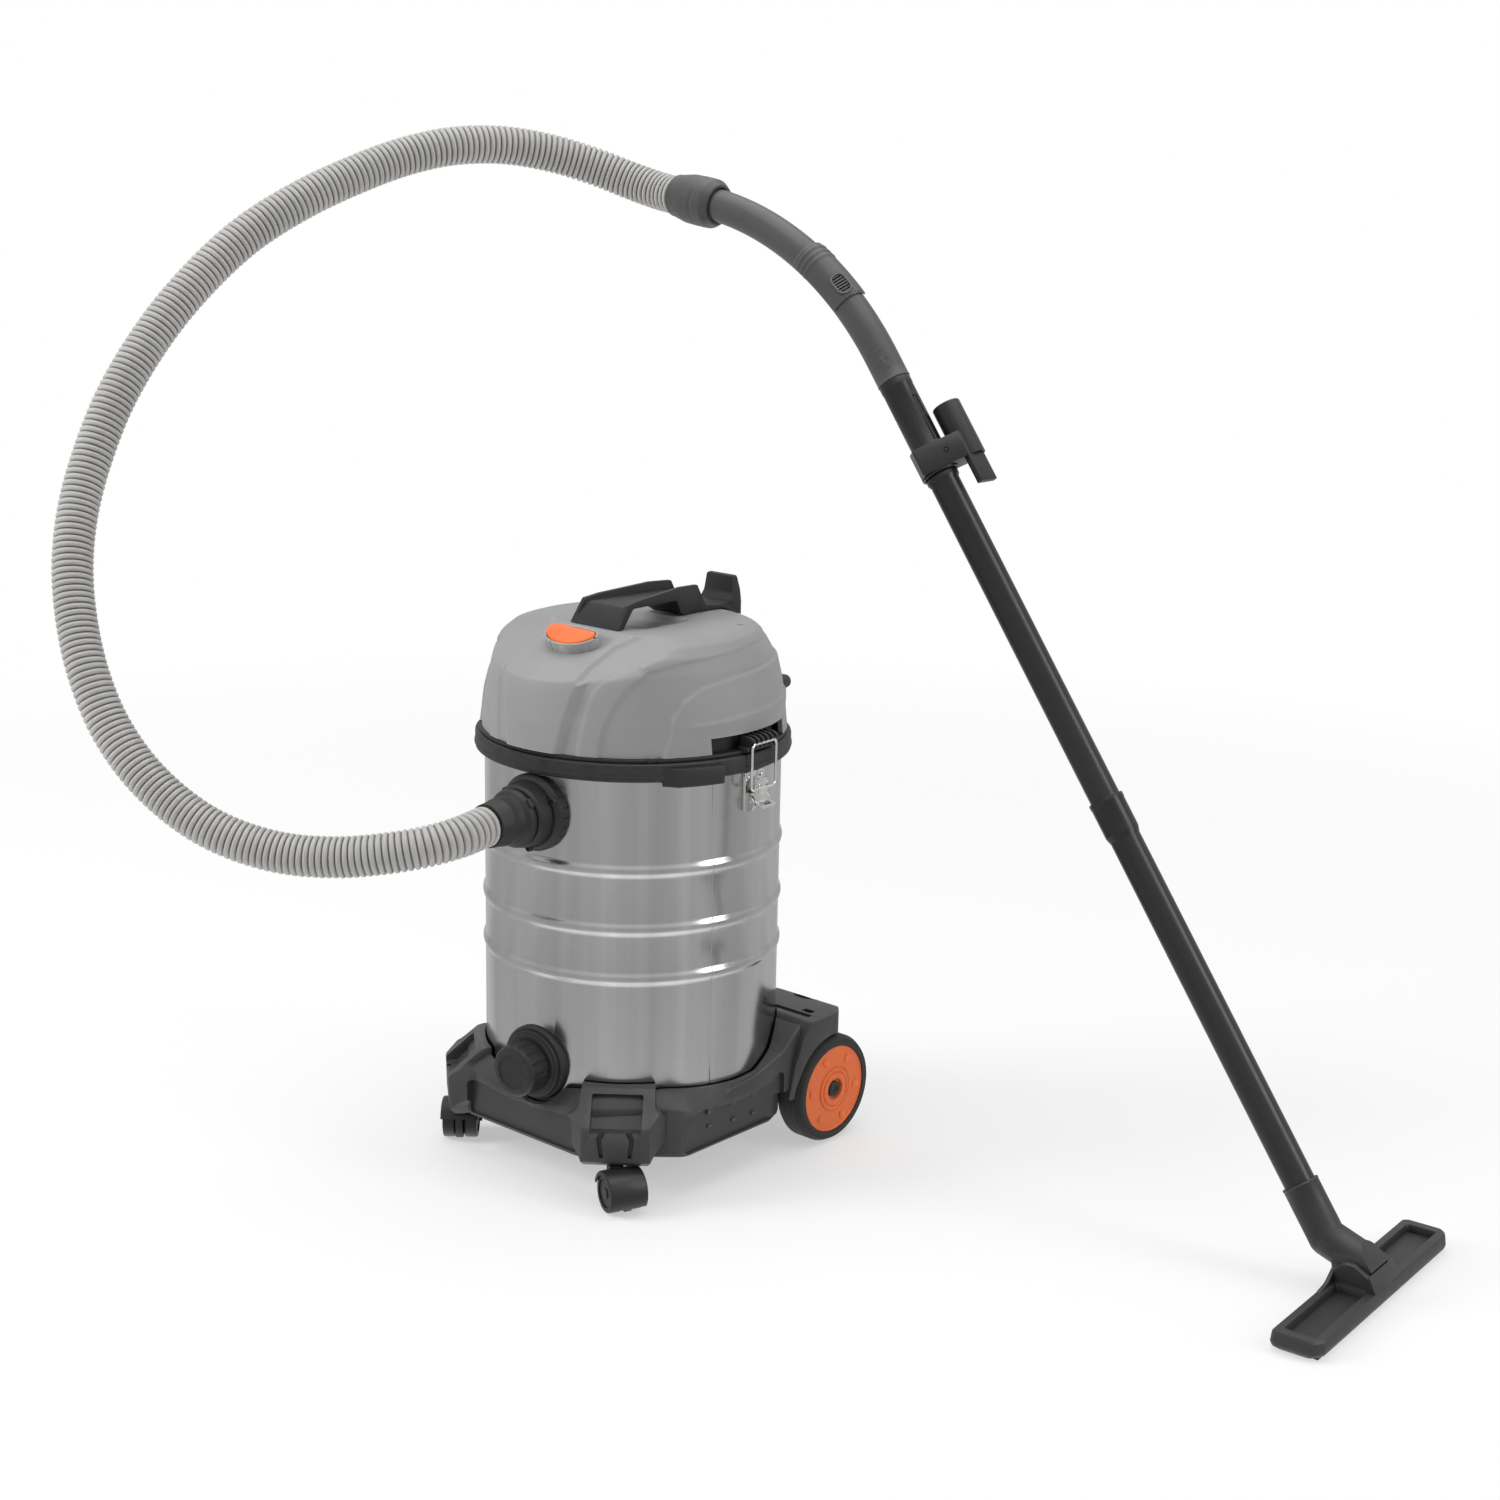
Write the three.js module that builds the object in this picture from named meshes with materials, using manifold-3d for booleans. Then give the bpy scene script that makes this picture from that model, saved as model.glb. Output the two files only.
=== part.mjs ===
// Wet and dry shop vacuum: steel tank on a wheeled base, motor head with filter, hose,
// hand grip, two-piece wand and floor nozzle. Millimetres, +Z up, the front faces -Y.
// The origin is the centre of the flat underside of the base tray, on the tank's axis.
import * as THREE from 'three';
import { mergeVertices } from 'three/addons/utils/BufferGeometryUtils.js';
import Module from 'manifold-3d';

const wasm = await Module();
wasm.setup();

// ---------- driving dimensions ----------
const FLOOR = -46;                // the ground that the wheels and the nozzle stand on
const GAP = 0.5;                  // running clearance round moving pieces
const TOUCH = 0.3;                // clearance between pieces that touch

const TANK_R = 160;
const TANK_WALL = 2;
const TANK_FOOT = 24;
const TANK_TOP = 408;
const TANK_TURN = 5;              // degrees that the tank and head plate sit turned in the base
const BEADS = [308, 245, 191];
const RING_R = 170;
const RING_TOP = 425;
const HEAD_TOP = 542;
const INLET_Z = 363;
const DRAIN_Z = 87;

const MOTOR_R = 50;
const CAGE_R = 46;
const FILTER_R = 80;

const WHEEL_R = 61;
const WHEEL_IN = 141;
const WHEEL_OUT = 179;
const AXLE_Y = 143;
const AXLE_Z = FLOOR + WHEEL_R;
const CASTER_AT = [121, -147];
const CASTER_R = 21;
const CASTER_TRAIL = 14;
const CASTER_SWIVEL = { left: 131, right: -22 };     // degrees from +X that each caster trails
const LOBE_TURN = 39.5;           // degrees round from the front to each front corner

const WAND_Y = 205;               // the upright plane that grip, wand and nozzle neck lie in
const WAND_SLOPE = 54;            // degrees above the ground
const WAND_TOP = [180, 795];      // x, z where the wand leaves the grip
const WAND_R = 16;
const UPPER_LENGTH = 494;
const WAND_LENGTH = 921;
const GRIP_R = 18;
const GRIP_BEND = 381;            // radius of the grip's centre line
const GRIP_STRAIGHT = 29.6;
const GRIP_END = 82;              // degrees round the bend where the hose cuff sits
const HOSE_R = 21;
const NOZZLE_X = 797;
const NOZZLE_LENGTH = 318;
const NOZZLE_WIDTH = 52;
const NOZZLE_YAW = 4.2;           // degrees that the nozzle stands turned about its pin's middle
const PIVOT = [792, -11];         // x, z of the nozzle's tilting pin

// route of the hose from the inlet cuff to the grip's cuff
const HOSE_ROUTE = [
  [20.5, -234.7, 363], [21.4, -244.7, 362.6], [20, -268, 359], [7, -298, 353], [-20, -328, 346],
  [-62, -362, 340], [-114, -398, 343], [-172, -434, 364], [-230, -459, 404],
  [-276, -470, 451], [-311, -471, 503], [-342, -462, 556], [-364, -449, 605],
  [-381, -429, 655], [-393, -401, 708], [-400, -363, 769], [-401, -309, 835],
  [-395, -258, 886], [-384, -203, 931], [-368, -142, 967], [-351, -82, 994],
  [-334, -23, 1015], [-314, 30, 1027], [-290, 84, 1029], [-262, 132, 1021],
  [-230, 170, 1007], [-195, 194, 992], [-164, 203.4, 982.8], [-145.7, 205, 979.3],
  [-135.2, 205, 977.9],
];

const RAD = Math.PI / 180;
const slopeX = -Math.cos(WAND_SLOPE * RAD);
const slopeZ = Math.sin(WAND_SLOPE * RAD);

// ---------- materials ----------
function plain(color, roughness, metalness = 0) {
  return new THREE.MeshStandardMaterial({ color, roughness, metalness });
}
const STEEL = plain(0x9a9a98, 0.3, 0.9);
const CHROME = plain(0xc4c4c2, 0.2, 1);
const GREY = plain(0x9c9c9c, 0.55);
const BLACK = plain(0x333434, 0.6);
const DARK_GREY = plain(0x5a5b5a, 0.6);
const WAND_BLACK = plain(0x2a2b2b, 0.45);
const ORANGE = plain(0xe8703c, 0.5);
const RUBBER = plain(0x262626, 0.85);
const HOSE_GREY = plain(0xb7b4ae, 0.5);
const PAPER = plain(0xd8d4c8, 0.9);
const COPPER = plain(0x8a6a4a, 0.45, 0.7);

// ---------- solids: three.js makes the shapes, manifold-3d joins and cuts them ----------
function solid(geometry) {
  const bare = geometry.clone();
  for (const name of Object.keys(bare.attributes)) {
    if (name !== 'position') bare.deleteAttribute(name);
  }
  const merged = mergeVertices(bare, 1e-4);
  const spots = merged.attributes.position.array;
  const source = merged.index.array;
  const kept = [];
  let volume = 0;
  const a = new THREE.Vector3();
  const b = new THREE.Vector3();
  const c = new THREE.Vector3();
  for (let i = 0; i < source.length; i += 3) {
    const [p, q, r] = [source[i], source[i + 1], source[i + 2]];
    if (p === q || q === r || p === r) continue;
    kept.push(p, q, r);
    a.fromArray(spots, p * 3);
    b.fromArray(spots, q * 3);
    c.fromArray(spots, r * 3);
    volume += a.dot(b.cross(c));
  }
  if (volume < 0) kept.reverse();
  return new wasm.Manifold(new wasm.Mesh({
    numProp: 3, vertProperties: new Float32Array(spots), triVerts: new Uint32Array(kept),
  }));
}

function geometryOf(body) {
  const mesh = body.getMesh();
  const geometry = new THREE.BufferGeometry();
  geometry.setAttribute('position', new THREE.BufferAttribute(mesh.vertProperties, 3));
  geometry.setIndex(new THREE.BufferAttribute(mesh.triVerts, 1));
  return geometry;
}

function join(...bodies) {
  return bodies.reduce((whole, next) => whole.add(next));
}

function cut(body, ...tools) {
  return tools.reduce((whole, tool) => whole.subtract(tool), body);
}

// a box from its lowest to its highest corner
function block(x0, x1, y0, y1, z0, z1) {
  const geometry = new THREE.BoxGeometry(x1 - x0, y1 - y0, z1 - z0);
  return solid(geometry.translate((x0 + x1) / 2, (y0 + y1) / 2, (z0 + z1) / 2));
}

// a round bar along Z, or along another axis once it is turned
function barGeometry(radius, low, high, sides = 24) {
  const geometry = new THREE.CylinderGeometry(radius, radius, high - low, sides);
  return geometry.rotateX(Math.PI / 2).translate(0, 0, (low + high) / 2);
}

function bar(radius, low, high, sides = 24) {
  return solid(barGeometry(radius, low, high, sides));
}

// a bar along X through the point (y, z)
function barX(radius, x0, x1, y, z, sides = 24) {
  return solid(barGeometry(radius, x0, x1, sides).rotateY(Math.PI / 2).translate(0, y, z));
}

// a bar along Y through the point (x, z)
function barY(radius, y0, y1, x, z, sides = 24) {
  return solid(barGeometry(radius, -y1, -y0, sides).rotateX(Math.PI / 2).translate(x, 0, z));
}

// a profile of [radius, height] points turned about Z
function turnedGeometry(profile, sides = 32) {
  const points = profile.map(([r, z]) => new THREE.Vector2(r, z));
  if (profile[0][0] > 0) points.push(points[0].clone());
  return new THREE.LatheGeometry(points, sides).rotateX(Math.PI / 2);
}

function turned(profile, sides = 24) {
  return solid(turnedGeometry(profile, sides));
}

// a turned piece whose axis points out from the tank's front at a height
function turnedForward(profile, height, sides = 24) {
  return solid(turnedGeometry(profile, sides).rotateX(Math.PI / 2).translate(0, 0, height));
}

// an outline in (x, y) raised from low to high
function raised(outline, low, high) {
  const shape = new THREE.Shape(outline.map(([x, y]) => new THREE.Vector2(x, y)));
  const geometry = new THREE.ExtrudeGeometry(shape, { depth: high - low, bevelEnabled: false });
  return solid(geometry.translate(0, 0, low));
}

// an outline in (y, z) drawn out along X
function drawnAcross(outline, x0, x1) {
  const shape = new THREE.Shape(outline.map(([y, z]) => new THREE.Vector2(y, z)));
  const geometry = new THREE.ExtrudeGeometry(shape, { depth: x1 - x0, bevelEnabled: false });
  geometry.applyMatrix4(new THREE.Matrix4().makeBasis(
    new THREE.Vector3(0, 1, 0), new THREE.Vector3(0, 0, 1), new THREE.Vector3(1, 0, 0)));
  return solid(geometry.translate(x0, 0, 0));
}

// a pipe, or a full bar where inner is 0, along a curve
function pipe(curve, outer, inner, steps, sides = 16) {
  const shape = new THREE.Shape();
  for (let i = 0; i <= sides; i += 1) {
    const angle = (i / sides) * 2 * Math.PI;
    const spot = [outer * Math.cos(angle), outer * Math.sin(angle)];
    if (i === 0) shape.moveTo(...spot);
    else shape.lineTo(...spot);
  }
  if (inner > 0) {
    const hole = new THREE.Path();
    for (let i = 0; i <= sides; i += 1) {
      const angle = (-i / sides) * 2 * Math.PI;
      const spot = [inner * Math.cos(angle), inner * Math.sin(angle)];
      if (i === 0) hole.moveTo(...spot);
      else hole.lineTo(...spot);
    }
    shape.holes.push(hole);
  }
  const options = { steps, extrudePath: curve, bevelEnabled: false };
  return solid(new THREE.ExtrudeGeometry(shape, options));
}

function smooth(points) {
  return new THREE.CatmullRomCurve3(points.map((p) => new THREE.Vector3(...p)), false, 'centripetal');
}

const vacuum = new THREE.Group();
const turnedGroup = new THREE.Group();
turnedGroup.rotation.z = TANK_TURN * RAD;
vacuum.add(turnedGroup);

function add(name, body, material, group = vacuum) {
  const mesh = new THREE.Mesh(geometryOf(body), material);
  mesh.name = name;
  group.add(mesh);
  return mesh;
}

// ---------- tank, its ring, inlet and drain ----------
const ROUND = 32;                 // sides of the big turned pieces

function tank() {
  const outer = [[0, TANK_FOOT], [148, TANK_FOOT], [156, TANK_FOOT + 3], [TANK_R, TANK_FOOT + 10]];
  for (const z of [...BEADS].reverse()) {
    outer.push([TANK_R, z - 8], [TANK_R + 2.6, z - 3], [TANK_R + 2.6, z + 3], [TANK_R, z + 8]);
  }
  outer.push([TANK_R, TANK_TOP - 4], [TANK_R + 4, TANK_TOP - 4], [TANK_R + 4, TANK_TOP]);
  const inner = TANK_R - TANK_WALL;
  outer.push([inner, TANK_TOP], [inner, TANK_FOOT + 11], [154, TANK_FOOT + 5], [147, TANK_FOOT + 2]);
  outer.push([0, TANK_FOOT + 2]);
  const inletHole = turnedForward([[0, 150], [25, 150], [25, 175], [0, 175]], INLET_Z, 24);
  const drainHole = turnedForward([[0, 150], [21, 150], [21, 175], [0, 175]], DRAIN_Z, 24);
  return cut(turned(outer, ROUND), inletHole, drainHole);
}

function rimRing() {
  const profile = [[165.4, 405], [RING_R, 406], [RING_R, RING_TOP - 1], [RING_R - 1, RING_TOP],
    [TANK_R + 1.4, RING_TOP], [TANK_R + 1.4, 409], [165.4, 409]];
  const lug = block(-14, 14, -177, -166, 402, 420);
  const spun = solid(geometryOf(lug).rotateZ(61 * RAD));
  return join(turned(profile, ROUND), spun);
}

// flanges are hollowed to the tank's curve
function tankCurve(radius) {
  return bar(radius, 0, 430, ROUND);
}

function inletFlange() {
  const body = turnedForward([[26, 148], [41, 148], [41, 169], [36, 171], [33, 171], [33, 187],
    [30, 190], [26, 190]], INLET_Z);
  return cut(body, tankCurve(TANK_R + 0.6));
}

function inletDeflector() {
  const bend = smooth([[0, -156.5, INLET_Z], [0, -140, INLET_Z], [18, -128, INLET_Z],
    [42, -124, INLET_Z]]);
  return pipe(bend, 24, 21, 4, 12);
}

function hoseCuff() {
  return turnedForward([[20, 162], [25.4, 162], [25.4, 191], [30, 191.5], [31, 196], [29, 200],
    [25, 204], [22.5, 234.6], [18, 234.6], [18, 200], [20, 190]], INLET_Z);
}

function drainCollar() {
  const body = turnedForward([[20.5, 148], [41, 148], [41, 165], [38, 168], [25, 168], [25, 176],
    [20.5, 176]], DRAIN_Z);
  return cut(body, tankCurve(TANK_R + 0.6));
}

function drainCap() {
  const ribs = 12;
  const geometry = turnedGeometry([[0, 199], [25, 199], [28, 195], [28, 170.5], [25.6, 170.5],
    [25.6, 183], [0, 183]], ribs * 2);
  return solid(geometry.rotateX(Math.PI / 2).translate(0, 0, DRAIN_Z));
}

function drainSeal() {
  return turnedForward([[20.5, 176.3], [25, 176.3], [25, 182.6], [20.5, 182.6]], DRAIN_Z, 24);
}

// ---------- over-centre latches on both sides of the tank ----------
const LATCH_LOW = 366;
const LEVER_PIVOT = 372;
const BAIL_LOW = 386;
const BAIL_HIGH = 435;
const BAIL_OUT = 14;               // from the tank's wall out to the bail's wire

function latchPieces(side) {
  const place = (body) => solid(geometryOf(body).rotateZ(side * 90 * RAD));
  const front = -TANK_R;
  const plate = block(-17, 17, front - 3, front + 2, LATCH_LOW - 4, 403);
  const ears = [-15, 12].map(
    (x) => block(x, x + 3, front - 12, front - 2, LATCH_LOW - 3, LEVER_PIVOT + 6));
  const pinHole = barX(2.4, -20, 20, front - 7, LEVER_PIVOT, 12);
  const bracket = cut(join(plate, ...ears), pinHole, tankCurve(TANK_R + 0.6));
  const leverPlate = block(-11, 11, front - 11.6, front - 9.6, LEVER_PIVOT - 4, 396);
  const tip = block(-11, 11, front - 22, front - 9.6, LEVER_PIVOT - 4, LEVER_PIVOT - 2);
  const knuckle = block(-11, 11, front - 11.6, front - 4.4, LEVER_PIVOT - 3, LEVER_PIVOT + 3);
  const pin = barX(2, -16, 16, front - 7, LEVER_PIVOT, 12);
  const lever = join(leverPlate, tip, knuckle, pin);
  const wire = 1.6;
  const legs = [-21, 21].map((x) => solid(
    barGeometry(wire, BAIL_LOW, BAIL_HIGH, 8).translate(x, front - BAIL_OUT, 0)));
  const ends = [BAIL_LOW, BAIL_HIGH].map((z) => barX(wire, -22, 22, front - BAIL_OUT, z, 8));
  const bail = join(...ends, ...legs);
  return { bracket: place(bracket), lever: place(lever), bail: place(bail) };
}

// ---------- head: lower plate, cover, switch, handle ----------
function headChassis() {
  const plate = turned([[52, 425.4], [146, 425.4], [146, 412], [151, 412], [151, 425.4],
    [166, 425.4], [166, 429], [52, 429]], ROUND);
  const keepers = [-1, 1].map((side) => {
    const rib = cut(block(-11, 11, -TANK_R - 19, -156, 427, 440),
      barX(2.4, -20, 20, -TANK_R - BAIL_OUT, BAIL_HIGH, 12));
    return solid(geometryOf(rib).rotateZ(side * 90 * RAD));
  });
  const seat = turned([[47.5, 421], [58, 421], [58, 427], [47.5, 427]]);
  return join(plate, seat, ...keepers);
}

function headGasket() {
  return turned([[151.6, 413], [157, 413], [157, 418], [151.6, 418]], ROUND);
}

function coverOutline(grow) {
  return [[0, HEAD_TOP + grow], [118 + grow, HEAD_TOP - 1 + grow], [132 + grow, 537 + grow],
    [142 + grow, 527 + grow], [150 + grow, 510], [156 + grow, 485], [160 + grow, 460],
    [163 + grow, 430]];
}

function coverSolid(grow, low) {
  const outline = coverOutline(grow);
  outline[outline.length - 1] = [163 + grow, low];
  return turned([...outline, [0, low]], ROUND);
}

const POCKET = [-48, 48, -36, 42];

// The cover's front top is flat and tips down towards -Y; the switch stands on it.
const SLOPE = 23.7 * RAD;
const SLOPE_START = -62;
const SWITCH_Y = -99;

function underSlope(start) {
  const reach = 200;
  return drawnAcross([[start - reach, HEAD_TOP - reach * Math.tan(SLOPE)], [start, HEAD_TOP],
    [200, HEAD_TOP], [200, 300], [start - reach, 300]], -200, 200);
}

function onSlope(body) {
  const drop = (SLOPE_START - SWITCH_Y) * Math.tan(SLOPE);
  return solid(geometryOf(body).rotateX(SLOPE).translate(2, SWITCH_Y, HEAD_TOP - drop));
}

function headCover() {
  const shell = coverSolid(0, 429.4).intersect(underSlope(SLOPE_START + 7));
  const face = block(-46, 46, -180, -45, 425, HEAD_TOP);
  const panel = coverSolid(4, 429.4).intersect(face).intersect(underSlope(SLOPE_START));
  const core = coverSolid(-3, 420).intersect(underSlope(SLOPE_START + 14.5));
  const [x0, x1, y0, y1] = POCKET;
  const pocket = block(x0, x1, y0, y1, 533, 560);
  const floorOfPocket = block(x0 - 3, x1 + 3, y0 - 3, y1 + 3, 530, 541);
  const gates = [-1, 1].map((side) => {
    const gate = block(-62, 62, -180, -130, 425, 446);
    return solid(geometryOf(gate).rotateZ((side * 90 + TANK_TURN) * RAD));
  });
  const slots = [];
  for (let i = -3; i <= 3; i += 1) slots.push(block(i * 12 - 3, i * 12 + 3, 130, 180, 470, 500));
  const gland = solid(barGeometry(7.6, 140, 180, 16).rotateX(-Math.PI / 2).translate(70, 0, 460));
  return cut(join(cut(shell, core), cut(floorOfPocket, block(-200, 200, -200, 200, 541, 600)),
    cut(panel, core)), pocket, ...gates, ...slots, gland, onSlope(block(-17, 17, -8, 8, -20, 20)));
}

function beanOutline(halfLength, halfWidth) {
  const outline = [];
  const steps = 16;
  for (let i = 0; i < steps; i += 1) {
    const angle = (i / steps) * 2 * Math.PI;
    const waist = 1 - 0.12 * Math.sin(angle);
    const end = Math.abs(Math.cos(angle)) ** 0.7 * Math.sign(Math.cos(angle));
    outline.push([halfLength * end, halfWidth * waist * Math.sin(angle)]);
  }
  return outline;
}

function switchBezel() {
  return onSlope(cut(raised(beanOutline(35, 17.5), TOUCH, 9), raised(beanOutline(31.5, 14), 0, 12)));
}

function switchRocker() {
  return onSlope(join(raised(beanOutline(30, 12.8), 3.5, 10.5), block(-8, 8, -5, 5, -9, 4)));
}

function carryHandle() {
  const base = HEAD_TOP + TOUCH;
  const span = [[-61, base], [-53, base], [-38, 561.5], [38, 560], [46, 546], [53, base],
    [118, base], [146, 534], [146, 549.5], [113, 546], [92, 547], [81, 562], [74, 572.5],
    [45, 573.8], [6, 571], [-24, 569.2], [-44, 567]];
  const trough = [[-66, 539.5], [-40, 564.2], [60, 563.5], [72, 562], [84, 551], [90, 547.5],
    [120, 547.5], [120, 600], [-66, 600]];
  const plan = [[-35, -62], [35, -62], [21, 75], [21, 150], [-21, 150], [-21, 75]];
  const room = [[-31, -70], [31, -70], [17, 75], [17, 125], [-17, 125], [-17, 75]];
  const strap = drawnAcross(span, -43, 43).intersect(raised(plan, 530, 590));
  const channel = drawnAcross(trough, -40, 40).intersect(raised(room, 530, 610));
  const tab = drawnAcross([[131, 546], [142, 546], [141, 575], [134.5, 575]], -21, 21);
  return join(cut(strap, channel), tab);
}

function cableGland() {
  const body = turnedGeometry([[4.5, 140], [7.2, 140], [7.2, 148.5], [11, 150], [11, 154], [7, 170],
    [4.5, 170]], 16);
  return solid(body.rotateX(-Math.PI / 2).translate(70, 0, 460));
}

function exhaustGrille() {
  const frame = block(-45, 45, 128, 131, 466, 504);
  const slots = [];
  for (let i = -3; i <= 3; i += 1) slots.push(block(i * 12 - 3, i * 12 + 3, 120, 140, 470, 500));
  return cut(frame, ...slots);
}

// ---------- inside the head: motor, fan, filter and float ----------
function fanShroud() {
  return turned([[12, 446], [12, 443], [67, 443], [67, 429.4], [72, 429.4], [72, 446]]);
}

function motorHousing() {
  const can = turned([[6.5, 508], [MOTOR_R, 508], [MOTOR_R, 446.4], [MOTOR_R - 4, 446.4],
    [MOTOR_R - 4, 505], [6.5, 505]]);
  const vents = [0, 60, 120].map((turn) => solid(
    new THREE.BoxGeometry(120, 10, 20).translate(0, 0, 490).rotateZ(turn * RAD)));
  return cut(can, ...vents);
}

function fanRotor() {
  return turned([[0, 433], [62, 433], [62, 440], [4, 442], [4, 452], [30, 454], [30, 490],
    [14, 492], [14, 502], [4, 502], [4, 514], [0, 514]], 20);
}

function soundFoam() {
  return turned([[54, 447], [64, 447], [64, 500], [54, 500]], 24);
}

function filterCage() {
  const cage = turned([[CAGE_R - 3, 332], [CAGE_R, 332], [CAGE_R, 424.6], [CAGE_R - 3, 424.6]]);
  const bottom = turned([[7, 330], [CAGE_R, 330], [CAGE_R, 333], [7, 333]]);
  const windows = [0, 90].map((turn) => solid(
    new THREE.BoxGeometry(120, 44, 58).translate(0, 0, 376).rotateZ(turn * RAD)));
  return join(cut(cage, ...windows), bottom);
}

function floatValve() {
  return turned([[0, 334], [30, 334], [34, 340], [34, 366], [31, 370], [0, 370]], 24);
}

function cartridgeFilter() {
  const pleats = 12;
  const outline = [];
  for (let i = 0; i < pleats; i += 1) {
    for (const [step, radius] of [[0, FILTER_R], [0.35, FILTER_R], [0.5, 64], [0.85, 64]]) {
      const angle = ((i + step) / pleats) * 2 * Math.PI;
      outline.push([radius * Math.cos(angle), radius * Math.sin(angle)]);
    }
  }
  const media = raised(outline, 330, 410);
  const caps = [[326, 334], [406, 412]].map(([low, high]) => bar(FILTER_R + 2, low, high));
  return cut(join(media, ...caps), bar(CAGE_R + 7, 320, 420));
}

function filterRetainer() {
  return turned([[0, 312], [10, 312], [10, 320], [74, 320], [74, 325.6], [50, 325.6], [50, 329.4],
    [0, 329.4]], 24);
}

// ---------- wheeled base ----------
// corner points of the right half's outline, from the front centre round to the back centre
const BASE_HALF = [[0, -168], [62, -168], [82, -176], [111, -175], [158, -134], [168, -106],
  [168, -70], [168, 40], [158, 72], [137, 80], [137, 190], [120, 202], [70, 200], [40, 174], [0, 174]];

function baseOutline(shrink) {
  const right = BASE_HALF.map(([x, y]) => {
    const length = Math.hypot(x, y);
    const scale = (length - shrink) / length;
    return [x * scale, y * scale];
  });
  const left = right.slice(1, -1).reverse().map(([x, y]) => [-x, y]);
  return [...right, ...left];
}

function shoulder(side) {
  const outline = [[84, 40], [92, 76], [102, 98], [112, 104], [162, 104], [178, 97], [190, 78],
    [196, 40]];
  const near = Math.min(side * 78, side * 176);
  const plan = [[70, 60], [180, 60], [180, 148], [150, 178], [126, 200], [70, 200]];
  const body = drawnAcross(outline, near, near + 98);
  return body.intersect(raised(side > 0 ? plan : plan.map(([x, y]) => [-x, y]).reverse(), 0, 130));
}

function frontLobe(side) {
  const outline = [[-44, -164], [-31, -203], [31, -203], [44, -164], [44, -120], [-44, -120]];
  return solid(geometryOf(raised(outline, 0, 76)).rotateZ(side * LOBE_TURN * RAD));
}

function lobeWindow(side) {
  const hollow = block(-24, 24, -214, -192, 40, 64);
  return solid(geometryOf(hollow).rotateZ(side * LOBE_TURN * RAD));
}

function baseFrame() {
  const bowl = cut(raised(baseOutline(0), 0, 62), raised(baseOutline(14), 5, 70));
  const cradle = cut(bar(TANK_R + 10, 0, 66, ROUND), bar(TANK_R - 8, 5, 70, ROUND));
  const parts = [bowl, cradle, frontLobe(-1), frontLobe(1), shoulder(-1), shoulder(1)];
  const cuts = [bar(TANK_R + 1.5, TANK_FOOT - TOUCH, 200, ROUND)];
  for (const side of [-1, 1]) {
    const [x, y] = CASTER_AT;
    const near = Math.min(side * 138, side * 200);
    cuts.push(barX(WHEEL_R + 4, near, near + 62, AXLE_Y, AXLE_Z, 32));
    cuts.push(solid(barGeometry(5.4, -5, 34, 16).translate(side * x, y, 0)));
    cuts.push(lobeWindow(side));
    const oval = barGeometry(13, 60, 120, 20).scale(1.2, 0.8, 1);
    cuts.push(solid(oval.translate(side * 114, 166, 0)));
    const [slotIn, slotOut] = side > 0 ? [142, 156] : [-156, -142];
    cuts.push(block(slotIn, slotOut, 124, 132, 60, 120));
  }
  cuts.push(barX(6.4, -200, 200, AXLE_Y, AXLE_Z, 16));
  cuts.push(solid(barGeometry(43, 130, 230, 24)
    .rotateX(Math.PI / 2).rotateZ(TANK_TURN * RAD).translate(0, 0, DRAIN_Z)));
  return cut(join(...parts), ...cuts);
}

function rearAxle() {
  return barX(6, -174, 174, AXLE_Y, AXLE_Z, 16);
}

function wheelPiece(profile, side, sides) {
  const geometry = turnedGeometry(profile, sides).rotateY(side * Math.PI / 2);
  return solid(geometry.translate(0, AXLE_Y, AXLE_Z));
}

function rearWheel(side) {
  const rim = WHEEL_R - 11;
  const tyre = wheelPiece([[rim, WHEEL_IN + 1], [WHEEL_R - 3, WHEEL_IN + 1], [WHEEL_R, WHEEL_IN + 8],
    [WHEEL_R, WHEEL_OUT - 8], [WHEEL_R - 4, WHEEL_OUT - 1], [rim, WHEEL_OUT - 1]], side, 24);
  const disc = wheelPiece([[6.5, WHEEL_IN], [14, WHEEL_IN], [14, 166], [rim - TOUCH, 166],
    [rim - TOUCH, WHEEL_OUT - 3], [22, WHEEL_OUT], [12, WHEEL_OUT], [12, 175], [6.5, 175]],
  side, 24);
  const cap = wheelPiece([[0, 175.4], [9, 175.4], [9, WHEEL_OUT - 1], [7, WHEEL_OUT], [0, WHEEL_OUT]],
    side, 20);
  return { tyre, disc, cap };
}

// the caster trails towards +X of its own frame, with its stem on Z
function casterFork() {
  const centre = FLOOR + CASTER_R;
  const stem = turned([[0, -4], [7, -4], [7, -0.6], [5, -0.6], [5, 30], [0, 30]], 16);
  const web = cut(barY(CASTER_R + 3, -4, 4, CASTER_TRAIL, centre, 16),
    block(-60, 60, -30, 30, -80, FLOOR + 5));
  const hood = cut(barY(CASTER_R + 3, -20, 20, CASTER_TRAIL, centre, 20),
    barY(CASTER_R + 1.2, -30, 30, CASTER_TRAIL, centre, 20),
    block(-60, 60, -30, 30, -80, centre - 4));
  const neck = block(-8, 20, -4, 4, -24, -3);
  return cut(join(web, hood, neck, stem), barY(3.4, -30, 30, CASTER_TRAIL, centre, 16));
}

function casterWheels() {
  const centre = FLOOR + CASTER_R;
  const discs = [[-19, -5], [5, 19]].map(
    ([y0, y1]) => barY(CASTER_R, y0, y1, CASTER_TRAIL, centre, 24));
  return join(...discs, barY(2.8, -8, 8, CASTER_TRAIL, centre, 12));
}

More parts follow.
